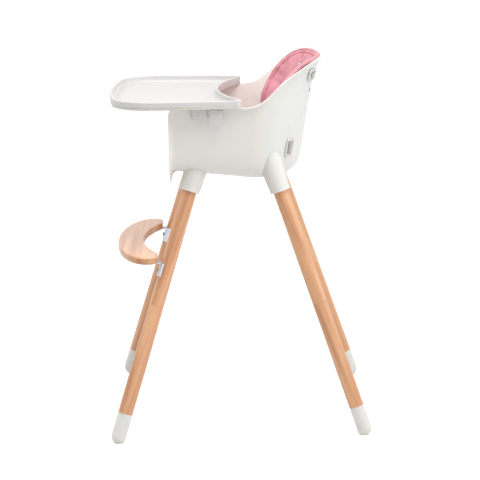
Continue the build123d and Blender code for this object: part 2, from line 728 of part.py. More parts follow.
def back_pad():
    """Quilted back cushion with wings: upright channels between crowned panels."""
    edge = PAD_EDGE_T + WEB_PLAY
    places = quilt(-PAD_WING, PAD_WING, PAD_PANELS, edge, PAD_SEAM_T, PAD_PANEL_T)
    pad = loft([pad_section(angle, thickness) for angle, thickness in places], ruled=True)
    slots, crotch = webbing_slots(2 * (SHELL_WALL + PAD_GAP + PAD_PANEL_T))
    return SEAT * (pad - slots - mirrored(slots))


def seat_pad_section(reach, thickness):
    """Slice across the seat cushion: flat below, crowned above, drawn in at its sides."""
    low = SHELL_WALL + SEAT_PAD_GAP
    middle = (SEAT_PAD_FRONT + SEAT_PAD_BACK) / 2
    share = SEAT_PAD_ROUND * abs(reach - middle) / (SEAT_PAD_BACK - middle)
    half = SEAT_PAD_HALF_W * (1 - share**SEAT_PAD_SQUARE) ** (1 / SEAT_PAD_SQUARE)
    edge = low + SEAT_PAD_EDGE_T
    edges = [
        Line((-half, low), (half, low)),
        Line((half, low), (half, edge)),
        ThreePointArc((half, edge), (0, low + thickness), (-half, edge)),
        Line((-half, edge), (-half, low)),
    ]
    return Plane(origin=(0, reach, 0), x_dir=(1, 0, 0), z_dir=(0, -1, 0)) * make_face(edges)


def seat_pad():
    """Quilted seat cushion with channels across it."""
    edge = SEAT_PAD_EDGE_T + WEB_PLAY
    places = quilt(SEAT_PAD_FRONT, SEAT_PAD_BACK, SEAT_PAD_PANELS, edge, SEAT_PAD_SEAM_T, SEAT_PAD_T)
    pad = loft([seat_pad_section(reach, thickness) for reach, thickness in places], ruled=True)
    slots, crotch = webbing_slots(2 * (SHELL_WALL + SEAT_PAD_T))
    return SEAT * (pad - crotch)


def retainer(plane, turn):
    """Two-window strap plate outside the shell, with a bar for the webbing between them."""
    window = (RETAINER_W - RETAINER_BAR - 2 * RETAINER_EDGE) / 2
    face = RectangleRounded(RETAINER_L, RETAINER_W, 2 * RETAINER_EDGE)
    for side in (-1, 1):
        middle = side * (RETAINER_BAR + window) / 2
        face -= Pos(0, middle) * RectangleRounded(SLOT_L, window, RETAINER_BAR / 3)
    plate = extrude(face, amount=RETAINER_T)
    plate = fillet(plate.faces().sort_by(Axis.Z)[-1].outer_wire().edges(), RETAINER_T / 3)
    return plane.offset(RETAINER_GAP) * Rot(0, 0, turn) * plate


LOOP = RETAINER_BAR / 2 + WEB_T / 2 + 5 * WEB_PLAY
LOOP_OUT = RETAINER_GAP + RETAINER_T + WEB_T / 2 + 5 * WEB_PLAY
BAR_LOOP = hypot(TONGUE_BAR, TONGUE_T) / 2 + WEB_T / 2 + 2 * WEB_PLAY
OUTWARD = Vector(SHOULDER_PLANE.z_dir.X, SHOULDER_PLANE.z_dir.Y, 0).normalized()
ALONG = SHOULDER_PLANE.x_dir
BUCKLE_TOP = BUCKLE_H + BUCKLE_TALL
TONGUE_LOW = BUCKLE_TOP + LEVER_GAP
BAR_H = TONGUE_LOW + TONGUE_TALL - TONGUE_BAR / 2
BAR_REACH = CROTCH_REACH - BUCKLE_T / 2 + WEB_T
BAR_RUN = (SHOULDER_PLANE.origin.Y - BAR_REACH) / OUTWARD.Y
BAR_CENTRE = Vector(SHOULDER_PLANE.origin.X - OUTWARD.X * BAR_RUN, BAR_REACH, BAR_H)
TONGUE_PLANE = Plane(origin=BAR_CENTRE, x_dir=ALONG, z_dir=OUTWARD * -1)
WAIST_BAR_S = SLOT_L / 2 + 1.5 * TONGUE_BAR + 2 * BAR_LOOP


def ribbon(plane, points, radii):
    """Webbing along a flat path, as wide as the webbing square to that path's plane."""
    path = FilletPolyline(*points, radius=radii)
    band = make_face(offset(path, amount=WEB_T / 2, kind=Kind.ARC).edges())
    return plane * extrude(band, amount=WEB_W / 2, both=True)


def wrap(centre, toward):
    """Points of a sewn loop round a tongue's bar, for webbing that comes from a direction."""
    across = Vector(-toward.Y, toward.X)
    over = centre + across * BAR_LOOP
    under = centre - across * BAR_LOOP
    return [over - toward * BAR_LOOP, under - toward * BAR_LOOP, under + toward * SEWN]


def pairs(points):
    return [(point.X, point.Y) for point in points]


def shoulder_strap():
    """From the retainer through the shell and pad, down the pad and over to the tongue."""
    plane = Plane(origin=SHOULDER_PLANE.origin, x_dir=OUTWARD * -1, z_dir=ALONG * -1)
    inside = SHELL_WALL + PAD_GAP + PAD_PANEL_T + 2 * WEB_T
    bar = Vector(BAR_RUN, BAR_H - SHOULDER_H)
    knee = Vector(inside + PAD_PANEL_T, bar.Y + PAD_PANEL_T)
    toward = (knee - bar).normalized()
    loop = wrap(bar, toward)
    start = [Vector(0, -LOOP), Vector(-LOOP_OUT, -LOOP), Vector(-LOOP_OUT, LOOP), Vector(inside, LOOP)]
    radii = [WEB_BEND_R, WEB_BEND_R, 2 * WEB_BEND_R, PAD_PANEL_T, WEB_BEND_R, WEB_BEND_R]
    return ribbon(plane, pairs(start + [knee] + loop), radii)


def waist_strap():
    """From the retainer through the shell and pad, level to the tongue's outer bar."""
    origin = WAIST_PLANE.origin
    out = Vector(WAIST_PLANE.z_dir.X, WAIST_PLANE.z_dir.Y, 0).normalized()
    along = WAIST_PLANE.x_dir
    here = Vector(origin.X, origin.Y)
    inside = here - out * (SHELL_WALL + PAD_GAP + PAD_PANEL_T + 2 * WEB_T) + along * LOOP
    bar = BAR_CENTRE + ALONG * WAIST_BAR_S
    bar = Vector(bar.X, bar.Y)
    toward = (inside - bar).normalized()
    lean = abs(WAIST_PLANE.z_dir.Z) * WEB_W / 2
    away = here + out * (LOOP_OUT + lean)
    start = [here - along * LOOP, away - along * LOOP, away + along * LOOP]
    points = start + [inside] + wrap(bar, toward)
    plane = Plane(origin=(0, 0, WAIST_H), x_dir=(1, 0, 0), z_dir=(0, 0, 1))
    return ribbon(plane, pairs(points), [WEB_BEND_R, WEB_BEND_R, 4 * WEB_BEND_R, WEB_BEND_R, WEB_BEND_R])


def crotch_strap():
    """From the retainer under the floor up into the buckle."""
    points = [
        (CROTCH_REACH - LOOP, SHELL_WALL / 2),
        (CROTCH_REACH - LOOP, -LOOP_OUT),
        (CROTCH_REACH + LOOP, -LOOP_OUT),
        (CROTCH_REACH + LOOP, BUCKLE_H + STRAP_TUCK),
    ]
    return ribbon(Plane.YZ, points, [WEB_BEND_R, WEB_BEND_R])


def tongue():
    """Moulded tongue: a blade for the buckle and bars for the shoulder and waist straps."""
    left = -SLOT_L / 2 - TONGUE_BAR
    right = WAIST_BAR_S + TONGUE_BAR / 2
    low = TONGUE_LOW - BAR_H
    top = TONGUE_BAR / 2
    window = 2 * BAR_LOOP
    waist_u = WAIST_H - BAR_H
    face = Pos((left + right) / 2, (low + top) / 2) * RectangleRounded(right - left, top - low, TONGUE_BAR)
    face -= Pos(0, -TONGUE_BAR / 2 - window / 2) * RectangleRounded(SLOT_L, window, WEB_T)
    waist_s = WAIST_BAR_S - TONGUE_BAR / 2 - window / 2
    face -= Pos(waist_s, waist_u) * RectangleRounded(window, SLOT_L - WEB_T, WEB_T)
    face += Pos(left + TONGUE_BLADE_W / 2, low) * Rectangle(TONGUE_BLADE_W, 2 * TONGUE_BLADE)
    return TONGUE_PLANE * extrude(face, amount=TONGUE_T / 2, both=True)


def blade_slot():
    """Room in the buckle for a tongue's blade."""
    left = -SLOT_L / 2 - TONGUE_BAR
    place = Pos(left + TONGUE_BLADE_W / 2, TONGUE_LOW - BAR_H)
    face = place * Rectangle(TONGUE_BLADE_W + 2 * BUTTON_FIT, 2 * (TONGUE_BLADE + BUTTON_FIT))
    return TONGUE_PLANE * extrude(face, amount=TONGUE_T / 2 + BUTTON_FIT, both=True)


def buckle():
    """Buckle housing with a round button well, two blade slots and a strap slot below."""
    body = Pos(0, CROTCH_REACH, BUCKLE_H + BUCKLE_TALL / 2) * Box(BUCKLE_W, BUCKLE_T, BUCKLE_TALL)
    body = fillet(body.edges().filter_by(Axis.Y), BUCKLE_T / 3)
    body = fillet(body.faces().sort_by(Axis.Y)[0].edges(), BUCKLE_T / 8)
    slot = blade_slot()
    body = body - slot - mirrored(slot)
    well = Vector(0, CROTCH_REACH - BUCKLE_T / 2, BUTTON_H)
    body -= rod(well, Vector(0, 1, 0), BUTTON_DEPTH + BUTTON_TRAVEL + BUTTON_FIT, BUTTON_R + BUTTON_FIT)
    tuck = Box(WEB_W + 2 * WEB_PLAY, WEB_T + 2 * WEB_PLAY, 2 * (STRAP_TUCK + WEB_T))
    return body - Pos(0, CROTCH_REACH + LOOP, BUCKLE_H) * tuck


def buckle_button():
    """Round release button, proud of the buckle by more than its travel."""
    front = Vector(0, CROTCH_REACH - BUCKLE_T / 2 - BUTTON_PROUD, BUTTON_H)
    button = rod(front, Vector(0, 1, 0), BUTTON_DEPTH + BUTTON_PROUD, BUTTON_R)
    return fillet(button.edges().group_by(Axis.Y)[0], BUTTON_PROUD / 3)


def place_sides(nodes, name, part):
    """A left piece and its mirror image on the right."""
    nodes[name + "_left"] = part
    nodes[name + "_right"] = mirrored(part)


def build_nodes():
    nodes = {}
    nodes["seat_shell"], outer = seat_shell()
    bolts = []
    inserts = []
    for name, (top, foot) in LEGS.items():
        place_sides(nodes, "leg_socket_" + name, leg_socket(top, foot, outer))
        place_sides(nodes, "leg_" + name, leg(top, foot))
        place_sides(nodes, "foot_cap_" + name, foot_cap(top, foot))
        place_sides(nodes, "foot_sole_" + name, foot_sole(foot))
        bolts += [leg_bolt(top, foot), mirrored(leg_bolt(top, foot))]
        inserts += [leg_insert(top, foot), mirrored(leg_insert(top, foot))]
    nodes["leg_bolts"] = Compound(children=bolts)
    nodes["leg_inserts"] = Compound(children=inserts)
    saddle_screw = screw(saddle_leg_screw_place(), SCREW_LENGTH, SCREW_R, SCREW_HEAD_R, SCREW_HEAD_H)
    board_screws = [
        screw(place, BOARD_SCREW_LENGTH, SCREW_R, SCREW_HEAD_R, SCREW_HEAD_H)
        for place in saddle_board_screw_places()
    ]
    saddle = footrest_saddle() - saddle_screw
    board = footrest_board()
    left_leg = nodes["leg_front_left"] - saddle_screw
    place_sides(nodes, "leg_front", left_leg)
    for board_screw in board_screws:
        saddle -= board_screw
        board = board - board_screw - mirrored(board_screw)
    nodes["footrest_board"] = board
    place_sides(nodes, "footrest_saddle", saddle)
    nodes["saddle_leg_screws"] = Compound(children=[saddle_screw, mirrored(saddle_screw)])
    nodes["saddle_board_screws"] = Compound(children=board_screws + [mirrored(item) for item in board_screws])
    nodes["tray"] = tray()
    place_sides(nodes, "tray_guide", tray_guide())
    place_sides(nodes, "tray_lever", tray_lever())
    place_sides(nodes, "lever_pin", lever_pin())
    nodes["back_pad"] = back_pad()
    nodes["seat_pad"] = seat_pad()
    place_sides(nodes, "shoulder_retainer", SEAT * retainer(SHOULDER_PLANE, 0))
    place_sides(nodes, "waist_retainer", SEAT * retainer(WAIST_PLANE, STANDING))
    nodes["crotch_retainer"] = SEAT * retainer(CROTCH_PLANE, 0)
    place_sides(nodes, "shoulder_strap", SEAT * shoulder_strap())
    place_sides(nodes, "waist_strap", SEAT * waist_strap())
    nodes["crotch_strap"] = SEAT * crotch_strap()
    place_sides(nodes, "buckle_tongue", SEAT * tongue())
    nodes["buckle"] = SEAT * buckle()
    nodes["buckle_button"] = SEAT * buckle_button()
    return nodes


if __name__ == "__main__":
    os.makedirs("parts", exist_ok=True)
    for node, part in build_nodes().items():
        export_step(part, os.path.join("parts", node + ".step"))
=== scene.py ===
import math
import bpy
from mathutils import Matrix, Vector
from mathutils.bvhtree import BVHTree


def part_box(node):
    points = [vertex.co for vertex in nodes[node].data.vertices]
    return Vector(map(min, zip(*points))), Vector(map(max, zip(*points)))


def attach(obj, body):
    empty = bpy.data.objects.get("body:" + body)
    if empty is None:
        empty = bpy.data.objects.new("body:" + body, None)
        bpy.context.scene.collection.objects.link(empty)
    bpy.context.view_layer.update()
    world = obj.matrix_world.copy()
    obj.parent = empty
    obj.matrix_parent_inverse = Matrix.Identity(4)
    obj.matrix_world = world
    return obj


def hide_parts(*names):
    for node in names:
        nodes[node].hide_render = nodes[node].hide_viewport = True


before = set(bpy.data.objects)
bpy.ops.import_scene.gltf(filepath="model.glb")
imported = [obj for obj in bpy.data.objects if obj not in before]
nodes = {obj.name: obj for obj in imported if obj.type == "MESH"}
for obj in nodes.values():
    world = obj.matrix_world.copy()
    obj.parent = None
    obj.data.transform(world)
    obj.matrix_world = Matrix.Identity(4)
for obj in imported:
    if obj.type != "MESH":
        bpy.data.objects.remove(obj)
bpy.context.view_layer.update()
scene = bpy.context.scene
scene.view_settings.view_transform = "Standard"

# Studio: a pale seamless floor under a white sky, with four soft boxes round the chair.
# They stand behind, near the camera, in front and overhead, and leave a faint shadow at the feet.
# The camera stands about four metres off the chair's left side, with a long lens, looking a little down.


def node_tree(name):
    """New material with an empty tree and its output."""
    made = bpy.data.materials.new(name)
    made.use_nodes = True
    made.node_tree.nodes.clear()
    out = made.node_tree.nodes.new("ShaderNodeOutputMaterial")
    return made, made.node_tree.nodes, made.node_tree.links, out


def backdrop_rays(tree, links):
    """One for a ray that sees the plain backdrop: from the camera, off a gloss or through glass."""
    path = tree.new("ShaderNodeLightPath")
    seen = path.outputs["Is Camera Ray"]
    for kind in ("Is Glossy Ray", "Is Transmission Ray"):
        either = tree.new("ShaderNodeMath")
        either.operation = "MAXIMUM"
        links.new(seen, either.inputs[0])
        links.new(path.outputs[kind], either.inputs[1])
        seen = either.outputs[0]
    return seen


floor_reach = 30
near_glow, far_glow = 0.54, 0.7
fade_from, fade_to = 0.4, 1.4
corners = [(x * floor_reach, y * floor_reach, 0) for x, y in ((-1, -1), (1, -1), (1, 1), (-1, 1))]
floor_mesh = bpy.data.meshes.new("studio_floor")
floor_mesh.from_pydata(corners, [], [(0, 1, 2, 3)])
floor = bpy.data.objects.new("studio_floor", floor_mesh)
scene.collection.objects.link(floor)
pale, tree, links, out = node_tree("studio_floor")
ground = tree.new("ShaderNodeBsdfDiffuse")
ground.inputs["Color"].default_value = (0.72, 0.72, 0.72, 1)
glow = tree.new("ShaderNodeEmission")
where = tree.new("ShaderNodeTexCoord")
off = tree.new("ShaderNodeVectorMath")
off.operation = "LENGTH"
links.new(where.outputs["Object"], off.inputs[0])
fade = tree.new("ShaderNodeMapRange")
fade.inputs["From Min"].default_value = fade_from
fade.inputs["From Max"].default_value = fade_to
fade.inputs["To Min"].default_value = near_glow
fade.inputs["To Max"].default_value = far_glow
links.new(off.outputs["Value"], fade.inputs["Value"])
links.new(fade.outputs["Result"], glow.inputs["Strength"])
lit = tree.new("ShaderNodeAddShader")
links.new(ground.outputs[0], lit.inputs[0])
links.new(glow.outputs[0], lit.inputs[1])
seen = tree.new("ShaderNodeMixShader")
links.new(backdrop_rays(tree, links), seen.inputs[0])
links.new(ground.outputs[0], seen.inputs[1])
links.new(lit.outputs[0], seen.inputs[2])
links.new(seen.outputs[0], out.inputs["Surface"])
floor_mesh.materials.append(pale)

sky = bpy.data.worlds.new("studio")
sky.use_nodes = True
scene.world = sky
tree, links = sky.node_tree.nodes, sky.node_tree.links
tree.clear()
white = tree.new("ShaderNodeBackground")
white.inputs["Color"].default_value = (1, 1, 1, 1)
soft = tree.new("ShaderNodeBackground")
soft.inputs["Color"].default_value = (1.0, 0.985, 0.965, 1)
soft.inputs["Strength"].default_value = 0.5
either = tree.new("ShaderNodeMixShader")
links.new(backdrop_rays(tree, links), either.inputs[0])
links.new(soft.outputs[0], either.inputs[1])
links.new(white.outputs[0], either.inputs[2])
ends = tree.new("ShaderNodeOutputWorld")
links.new(either.outputs[0], ends.inputs["Surface"])


def lamp(name, place, aim, size, power, colour):
    """Square soft box at a place, turned to a point."""
    light = bpy.data.lights.new(name, "AREA")
    light.size = size
    light.energy = power
    light.color = colour
    made = bpy.data.objects.new(name, light)
    made.location = place
    made.rotation_euler = (Vector(aim) - Vector(place)).to_track_quat("-Z", "Y").to_euler()
    scene.collection.objects.link(made)


warm_white = (1, 0.985, 0.96)
plain_white = (1, 0.99, 0.97)
lamp("rear_right_box", (1.2, 3.2, 2.2), (0, 0.1, 0.6), size=2.4, power=44, colour=warm_white)
lamp("near_right_box", (3.0, 1.0, 1.3), (0, -0.1, 0.5), size=0.9, power=8, colour=warm_white)
lamp("front_box", (0.1, -2.4, 2.6), (0, -0.1, 0.6), size=1.8, power=34, colour=plain_white)
lamp("overhead_box", (0.9, 0.5, 2.9), (0, 0, 0.75), size=1.5, power=40, colour=plain_white)

lens = bpy.data.cameras.new("side_camera")
lens.lens = 129.6
lens.sensor_width = 36.0
lens.clip_end = 100
camera = bpy.data.objects.new("side_camera", lens)
stand = Vector((4.25, -0.02023, 1.42406))
yaw, pitch, roll = -0.00505012, 0.22905299, -0.01089319
ahead = Vector((-math.cos(yaw) * math.cos(pitch), -math.sin(yaw) * math.cos(pitch), -math.sin(pitch)))
level = Vector((-math.sin(yaw), math.cos(yaw), 0))
upright = level.cross(ahead)
right = level * math.cos(roll) + upright * math.sin(roll)
top = right.cross(ahead)
turned = Matrix((right, top, -ahead)).transposed()
camera.matrix_world = Matrix.Translation(stand) @ turned.to_4x4()
scene.collection.objects.link(camera)
scene.camera = camera

# Seat shell, tray, leg sockets and foot caps: white polypropylene, injection moulded.
# The surface has a fine spark texture and the faint clouding that thin mouldings show.
# The seat's inner walls take a slightly glossier copy of the white, lighter and warmer as painted bounce
# light from the cushion; the tray's groove over the arms is filled with a cream painted highlight.


def dress(names, finish):
    """One finish on CAD nodes that keep their own shape."""
    for name in names:
        mesh = nodes[name].data
        mesh.materials.clear()
        mesh.materials.append(finish)


def moulded(name, tone, rough, grain, through=0.0):
    """Moulded plastic with a fine spark texture and faint clouding, a little translucent if wanted."""
    uneven = 0.06
    clouded = (0.965, 0.962, 0.955)
    made, tree, links, out = node_tree(name)
    skin = tree.new("ShaderNodeBsdfPrincipled")
    skin.inputs["IOR"].default_value = 1.49
    skin.inputs["Subsurface Weight"].default_value = through
    skin.inputs["Subsurface Radius"].default_value = (1.0, 0.68, 0.55)
    skin.inputs["Subsurface Scale"].default_value = 0.009
    where = tree.new("ShaderNodeTexCoord")
    cloud = tree.new("ShaderNodeTexNoise")
    cloud.inputs["Scale"].default_value = 9
    cloud.inputs["Detail"].default_value = 3
    links.new(where.outputs["Object"], cloud.inputs["Vector"])
    tint = tree.new("ShaderNodeValToRGB")
    tint.color_ramp.elements[0].position = 0.3
    tint.color_ramp.elements[0].color = (*(part * share for part, share in zip(tone, clouded)), 1)
    tint.color_ramp.elements[1].position = 0.7
    tint.color_ramp.elements[1].color = (*tone, 1)
    links.new(cloud.outputs["Fac"], tint.inputs["Fac"])
    links.new(tint.outputs["Color"], skin.inputs["Base Color"])
    wear = tree.new("ShaderNodeMapRange")
    wear.inputs["To Min"].default_value = rough - uneven
    wear.inputs["To Max"].default_value = rough + uneven
    links.new(cloud.outputs["Fac"], wear.inputs["Value"])
    links.new(wear.outputs["Result"], skin.inputs["Roughness"])
    spark = tree.new("ShaderNodeTexNoise")
    spark.inputs["Scale"].default_value = 1400
    spark.inputs["Detail"].default_value = 2
    links.new(where.outputs["Object"], spark.inputs["Vector"])
    bump = tree.new("ShaderNodeBump")
    bump.inputs["Strength"].default_value = grain
    bump.inputs["Distance"].default_value = 0.0002
    links.new(spark.outputs["Fac"], bump.inputs["Height"])
    links.new(bump.outputs["Normal"], skin.inputs["Normal"])
    links.new(skin.outputs[0], out.inputs["Surface"])
    return made


white_moulding = moulded("white_moulding", (0.83, 0.826, 0.805), rough=0.42, grain=0.12, through=0.5)
# Slightly glossier copy of the white for the inner walls; its lighter, warmer tone is painted bounce light
# from the pink cushion.
painted_bounce_inside = moulded("painted_bounce_inside", (0.93, 0.885, 0.845), rough=0.36, grain=0.06, through=0.5)
leg_moulding = moulded("leg_moulding", (0.75, 0.744, 0.728), rough=0.45, grain=0.12, through=0.3)
tray_moulding = moulded("tray_moulding", (0.65, 0.65, 0.648), rough=0.42, grain=0.08)
# Cream painted highlight for the groove line over the arms, coloured on the tray's own faces.
painted_groove_highlight = moulded("painted_groove_highlight", (0.86, 0.72, 0.52), rough=0.55, grain=0.1)
ends = ("front_left", "front_right", "rear_left", "rear_right")
sides = ("left", "right")
centre_reach = 0.02
facing_in = 0.5
dress(["seat_shell"], white_moulding)
shell = nodes["seat_shell"]
shell.data.materials.append(painted_bounce_inside)
# Faces turned toward the seat's middle line take the copy with painted bounce light.
for face in shell.data.polygons:
    off = shell.matrix_world @ face.center - Vector((0, centre_reach, 0))
    off.z = 0
    if face.normal.dot(off) < -facing_in * off.length:
        face.material_index = 1
dress([piece + end for piece in ("leg_socket_", "foot_cap_") for end in ends], leg_moulding)
arms_front = -0.15
groove_low, groove_high = 0.8057, 0.8073
upright_face = 0.3
dress(["tray"], tray_moulding)
tray = nodes["tray"]
tray.data.materials.append(painted_groove_highlight)
tray_low, tray_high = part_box("tray")
# Outward, upright faces of the groove band over the arms take the cream painted highlight.
for face in tray.data.polygons:
    place = tray.matrix_world @ face.center
    off = place - (tray_low + tray_high) / 2
    outward = off.x * face.normal.x + off.y * face.normal.y
    over_arms = place.y > arms_front and groove_low < place.z < groove_high
    if over_arms and outward > 0 and abs(face.normal.z) < upright_face:
        face.material_index = 1
dress([piece + side for piece in ("tray_guide_", "tray_lever_") for side in sides], tray_moulding)

# Legs and footrest board: solid beech, turned or bandsawn, sanded and clear lacquered.
# Straight grain runs along each piece, with the short dark flecks that mark beech.
# Each leg is glued up from two lengths. The board's top is paler than the legs as painted light, and its sawn
# edges have thinner lacquer and a darker tone that is painted shade.


def beech(name, along, lacquer, pale, joint):
    """Beech with its grain along a direction, as pale as wanted, glued up at a joint, clear lacquered."""
    half_glue_line = 0.0006
    other_length = (0.61, 0.13, 0.5)
    fleck_strength = 0.55
    palest = 0.93
    made, tree, links, out = node_tree(name)
    skin = tree.new("ShaderNodeBsdfPrincipled")
    skin.inputs["Coat Weight"].default_value = lacquer
    skin.inputs["Coat Roughness"].default_value = 0.28
    where = tree.new("ShaderNodeTexCoord")
    turned = tree.new("ShaderNodeMapping")
    turned.vector_type = "TEXTURE"
    upright = Vector((0, 0, 1))
    turned.inputs["Rotation"].default_value = upright.rotation_difference(Vector(along)).to_euler()
    links.new(where.outputs["Object"], turned.inputs["Vector"])
    lengths = tree.new("ShaderNodeSeparateXYZ")
    links.new(turned.outputs["Vector"], lengths.inputs[0])
    upper = tree.new("ShaderNodeMath")
    upper.operation = "GREATER_THAN"
    upper.inputs[1].default_value = joint
    links.new(lengths.outputs["Z"], upper.inputs[0])
    glue = tree.new("ShaderNodeMath")
    glue.operation = "COMPARE"
    glue.inputs[1].default_value = joint
    glue.inputs[2].default_value = half_glue_line
    links.new(lengths.outputs["Z"], glue.inputs[0])
    other = tree.new("ShaderNodeVectorMath")
    other.operation = "SCALE"
    other.inputs[0].default_value = other_length
    links.new(upper.outputs[0], other.inputs["Scale"])
    plank = tree.new("ShaderNodeVectorMath")
    links.new(turned.outputs["Vector"], plank.inputs[0])
    links.new(other.outputs[0], plank.inputs[1])

    def streaks(across, lengthwise, detail):
        """Noise with so many streaks in a metre across the grain and along it."""
        stretch = tree.new("ShaderNodeVectorMath")
        stretch.operation = "MULTIPLY"
        stretch.inputs[1].default_value = (across, across, lengthwise)
        links.new(plank.outputs[0], stretch.inputs[0])
        noise = tree.new("ShaderNodeTexNoise")
        noise.inputs["Scale"].default_value = 1
        noise.inputs["Detail"].default_value = detail
        links.new(stretch.outputs[0], noise.inputs["Vector"])
        return noise.outputs["Fac"]

    growth = tree.new("ShaderNodeValToRGB")
    rings = ((0.3, (0.51, 0.22, 0.106)), (0.5, (0.68, 0.35, 0.18)), (0.7, (0.82, 0.475, 0.265)))
    for position, colour in rings:
        stop = growth.color_ramp.elements.new(position)
        stop.color = (*(min(palest, part * pale) for part in colour), 1)
    growth.color_ramp.elements.remove(growth.color_ramp.elements[0])
    growth.color_ramp.elements.remove(growth.color_ramp.elements[-1])
    links.new(streaks(across=62, lengthwise=2.2, detail=4), growth.inputs["Fac"])
    fleck = tree.new("ShaderNodeMapRange")
    fleck.inputs["From Min"].default_value = 0.66
    fleck.inputs["From Max"].default_value = 0.74
    links.new(streaks(across=480, lengthwise=46, detail=1), fleck.inputs["Value"])
    darker = tree.new("ShaderNodeMix")
    darker.data_type = "RGBA"
    darker.inputs["B"].default_value = (0.42, 0.22, 0.11, 1)
    weaken = tree.new("ShaderNodeMath")
    weaken.operation = "MULTIPLY"
    weaken.inputs[1].default_value = fleck_strength
    marks = tree.new("ShaderNodeMath")
    marks.operation = "MAXIMUM"
    links.new(fleck.outputs["Result"], marks.inputs[0])
    links.new(glue.outputs[0], marks.inputs[1])
    links.new(marks.outputs[0], weaken.inputs[0])
    links.new(weaken.outputs[0], darker.inputs["Factor"])
    links.new(growth.outputs["Color"], darker.inputs["A"])
    links.new(darker.outputs["Result"], skin.inputs["Base Color"])
    pores = streaks(across=1500, lengthwise=60, detail=2)
    gloss = tree.new("ShaderNodeMapRange")
    gloss.inputs["To Min"].default_value = 0.36
    gloss.inputs["To Max"].default_value = 0.52
    links.new(pores, gloss.inputs["Value"])
    links.new(gloss.outputs["Result"], skin.inputs["Roughness"])
    bump = tree.new("ShaderNodeBump")
    bump.inputs["Strength"].default_value = 0.18
    bump.inputs["Distance"].default_value = 0.0003
    links.new(pores, bump.inputs["Height"])
    links.new(bump.outputs["Normal"], skin.inputs["Normal"])
    links.new(skin.outputs[0], out.inputs["Surface"])
    return made


joint_height = 0.322
for end in ends:
    low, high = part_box("leg_" + end)
    outward = 1 if end.endswith("left") else -1
    fore = 1 if end.startswith("front") else -1
    lean = Vector(((low.x - high.x) * outward, (high.y - low.y) * fore, high.z - low.z))
    middle = (low + high) / 2
    joint = (middle + lean * (joint_height - middle.z) / lean.z).dot(lean.normalized())
    dress(["leg_" + end], beech("beech_leg_" + end, lean, lacquer=0.4, pale=0.93, joint=joint))
sideways = (1, 0, 0)
past_its_ends = 1.0
edge_slope = 0.5
# Board top: beech made paler than the legs, as painted light.
dress(["footrest_board"], beech("beech_board_painted_light", sideways, lacquer=1.0, pale=1.14, joint=past_its_ends))
board = nodes["footrest_board"].data
board.materials.append(beech("beech_edge_painted_shade", sideways, lacquer=0.3, pale=0.8, joint=past_its_ends))
# Upright faces of the board take the darker copy, as painted shade.
for face in board.polygons:
    if abs(face.normal.z) < edge_slope:
        face.material_index = 1

# Foot soles: cream rubber discs under the caps, moulded with a fine grip texture.
# Each is pressed into the cap's open end and stands a little proud of it.
cream_rubber = moulded("cream_rubber", (0.78, 0.72, 0.6), rough=0.7, grain=0.3)
dress(["foot_sole_" + end for end in ends], cream_rubber)

# Footrest saddles, screws, pins, bolts and inserts: pressed and turned steel, zinc plated.
# The plating is slightly cloudy, bluish on the bent saddles and dark on all that is turned.


def plated(name, tone, rough):
    """Zinc-plated steel, faintly clouded."""
    dull = 0.8
    clouding = 0.2
    made, tree, links, out = node_tree(name)
    skin = tree.new("ShaderNodeBsdfPrincipled")
    skin.inputs["Metallic"].default_value = 1.0
    where = tree.new("ShaderNodeTexCoord")
    cloud = tree.new("ShaderNodeTexNoise")
    cloud.inputs["Scale"].default_value = 160
    cloud.inputs["Detail"].default_value = 4
    links.new(where.outputs["Object"], cloud.inputs["Vector"])
    tint = tree.new("ShaderNodeValToRGB")
    tint.color_ramp.elements[0].color = (*(part * dull for part in tone), 1)
    tint.color_ramp.elements[1].color = (*tone, 1)
    links.new(cloud.outputs["Fac"], tint.inputs["Fac"])
    links.new(tint.outputs["Color"], skin.inputs["Base Color"])
    wear = tree.new("ShaderNodeMapRange")
    wear.inputs["To Min"].default_value = rough
    wear.inputs["To Max"].default_value = rough + clouding
    links.new(cloud.outputs["Fac"], wear.inputs["Value"])
    links.new(wear.outputs["Result"], skin.inputs["Roughness"])
    links.new(skin.outputs[0], out.inputs["Surface"])
    return made


zinc_saddle = plated("zinc_saddle", (0.66, 0.69, 0.73), rough=0.42)
dress(["footrest_saddle_" + side for side in sides], zinc_saddle)
dark_zinc = plated("dark_zinc", (0.2, 0.197, 0.192), rough=0.34)
dress(["saddle_leg_screws", "saddle_board_screws", "leg_bolts", "leg_inserts"], dark_zinc)
dress(["lever_pin_" + side for side in sides], dark_zinc)

# Harness fittings: light grey nylon retainers, tongues and buckle, with a darker release button.
# All are injection moulded with a spark texture, and hold the webbing by their bars.
grey_nylon = moulded("grey_nylon", (0.68, 0.68, 0.67), rough=0.45, grain=0.2)
dress([piece + side for piece in ("shoulder_retainer_", "waist_retainer_") for side in sides], grey_nylon)
dress(["crotch_retainer", "buckle", "buckle_tongue_left", "buckle_tongue_right"], grey_nylon)
button_nylon = moulded("button_nylon", (0.3, 0.3, 0.31), rough=0.5, grain=0.2)
dress(["buckle_button"], button_nylon)

# Back cushion: coated pink cotton over wadding, quilted in upright channels, with a navy backing.
# It stands in the bucket against its back and sides, bound round its edge with folded tape.
tilt = math.radians(5.75)
seat_floor = 0.6238
half_floor, side_lean = 0.1782, math.radians(9.1)
back_floor, back_lean = 0.1259, math.radians(3.65)
flare, flare_from, flare_over = 0.012, 0.1955, 0.105
corner_bend = 0.09
floor_bend = 0.045
shell_wall = 0.0036
shell_gap = 0.0016
wing = 82
low_middle, low_rise = 0.014, 0.046
top_middle, top_turn, top_roundness = 0.2985, 88, 5


def seat_point(x, reach, height):
    """Place in the tilted seat, as a place in the room."""
    up = height * math.cos(tilt) - reach * math.sin(tilt)
    return Vector((x, reach * math.cos(tilt) + height * math.sin(tilt), seat_floor + up))


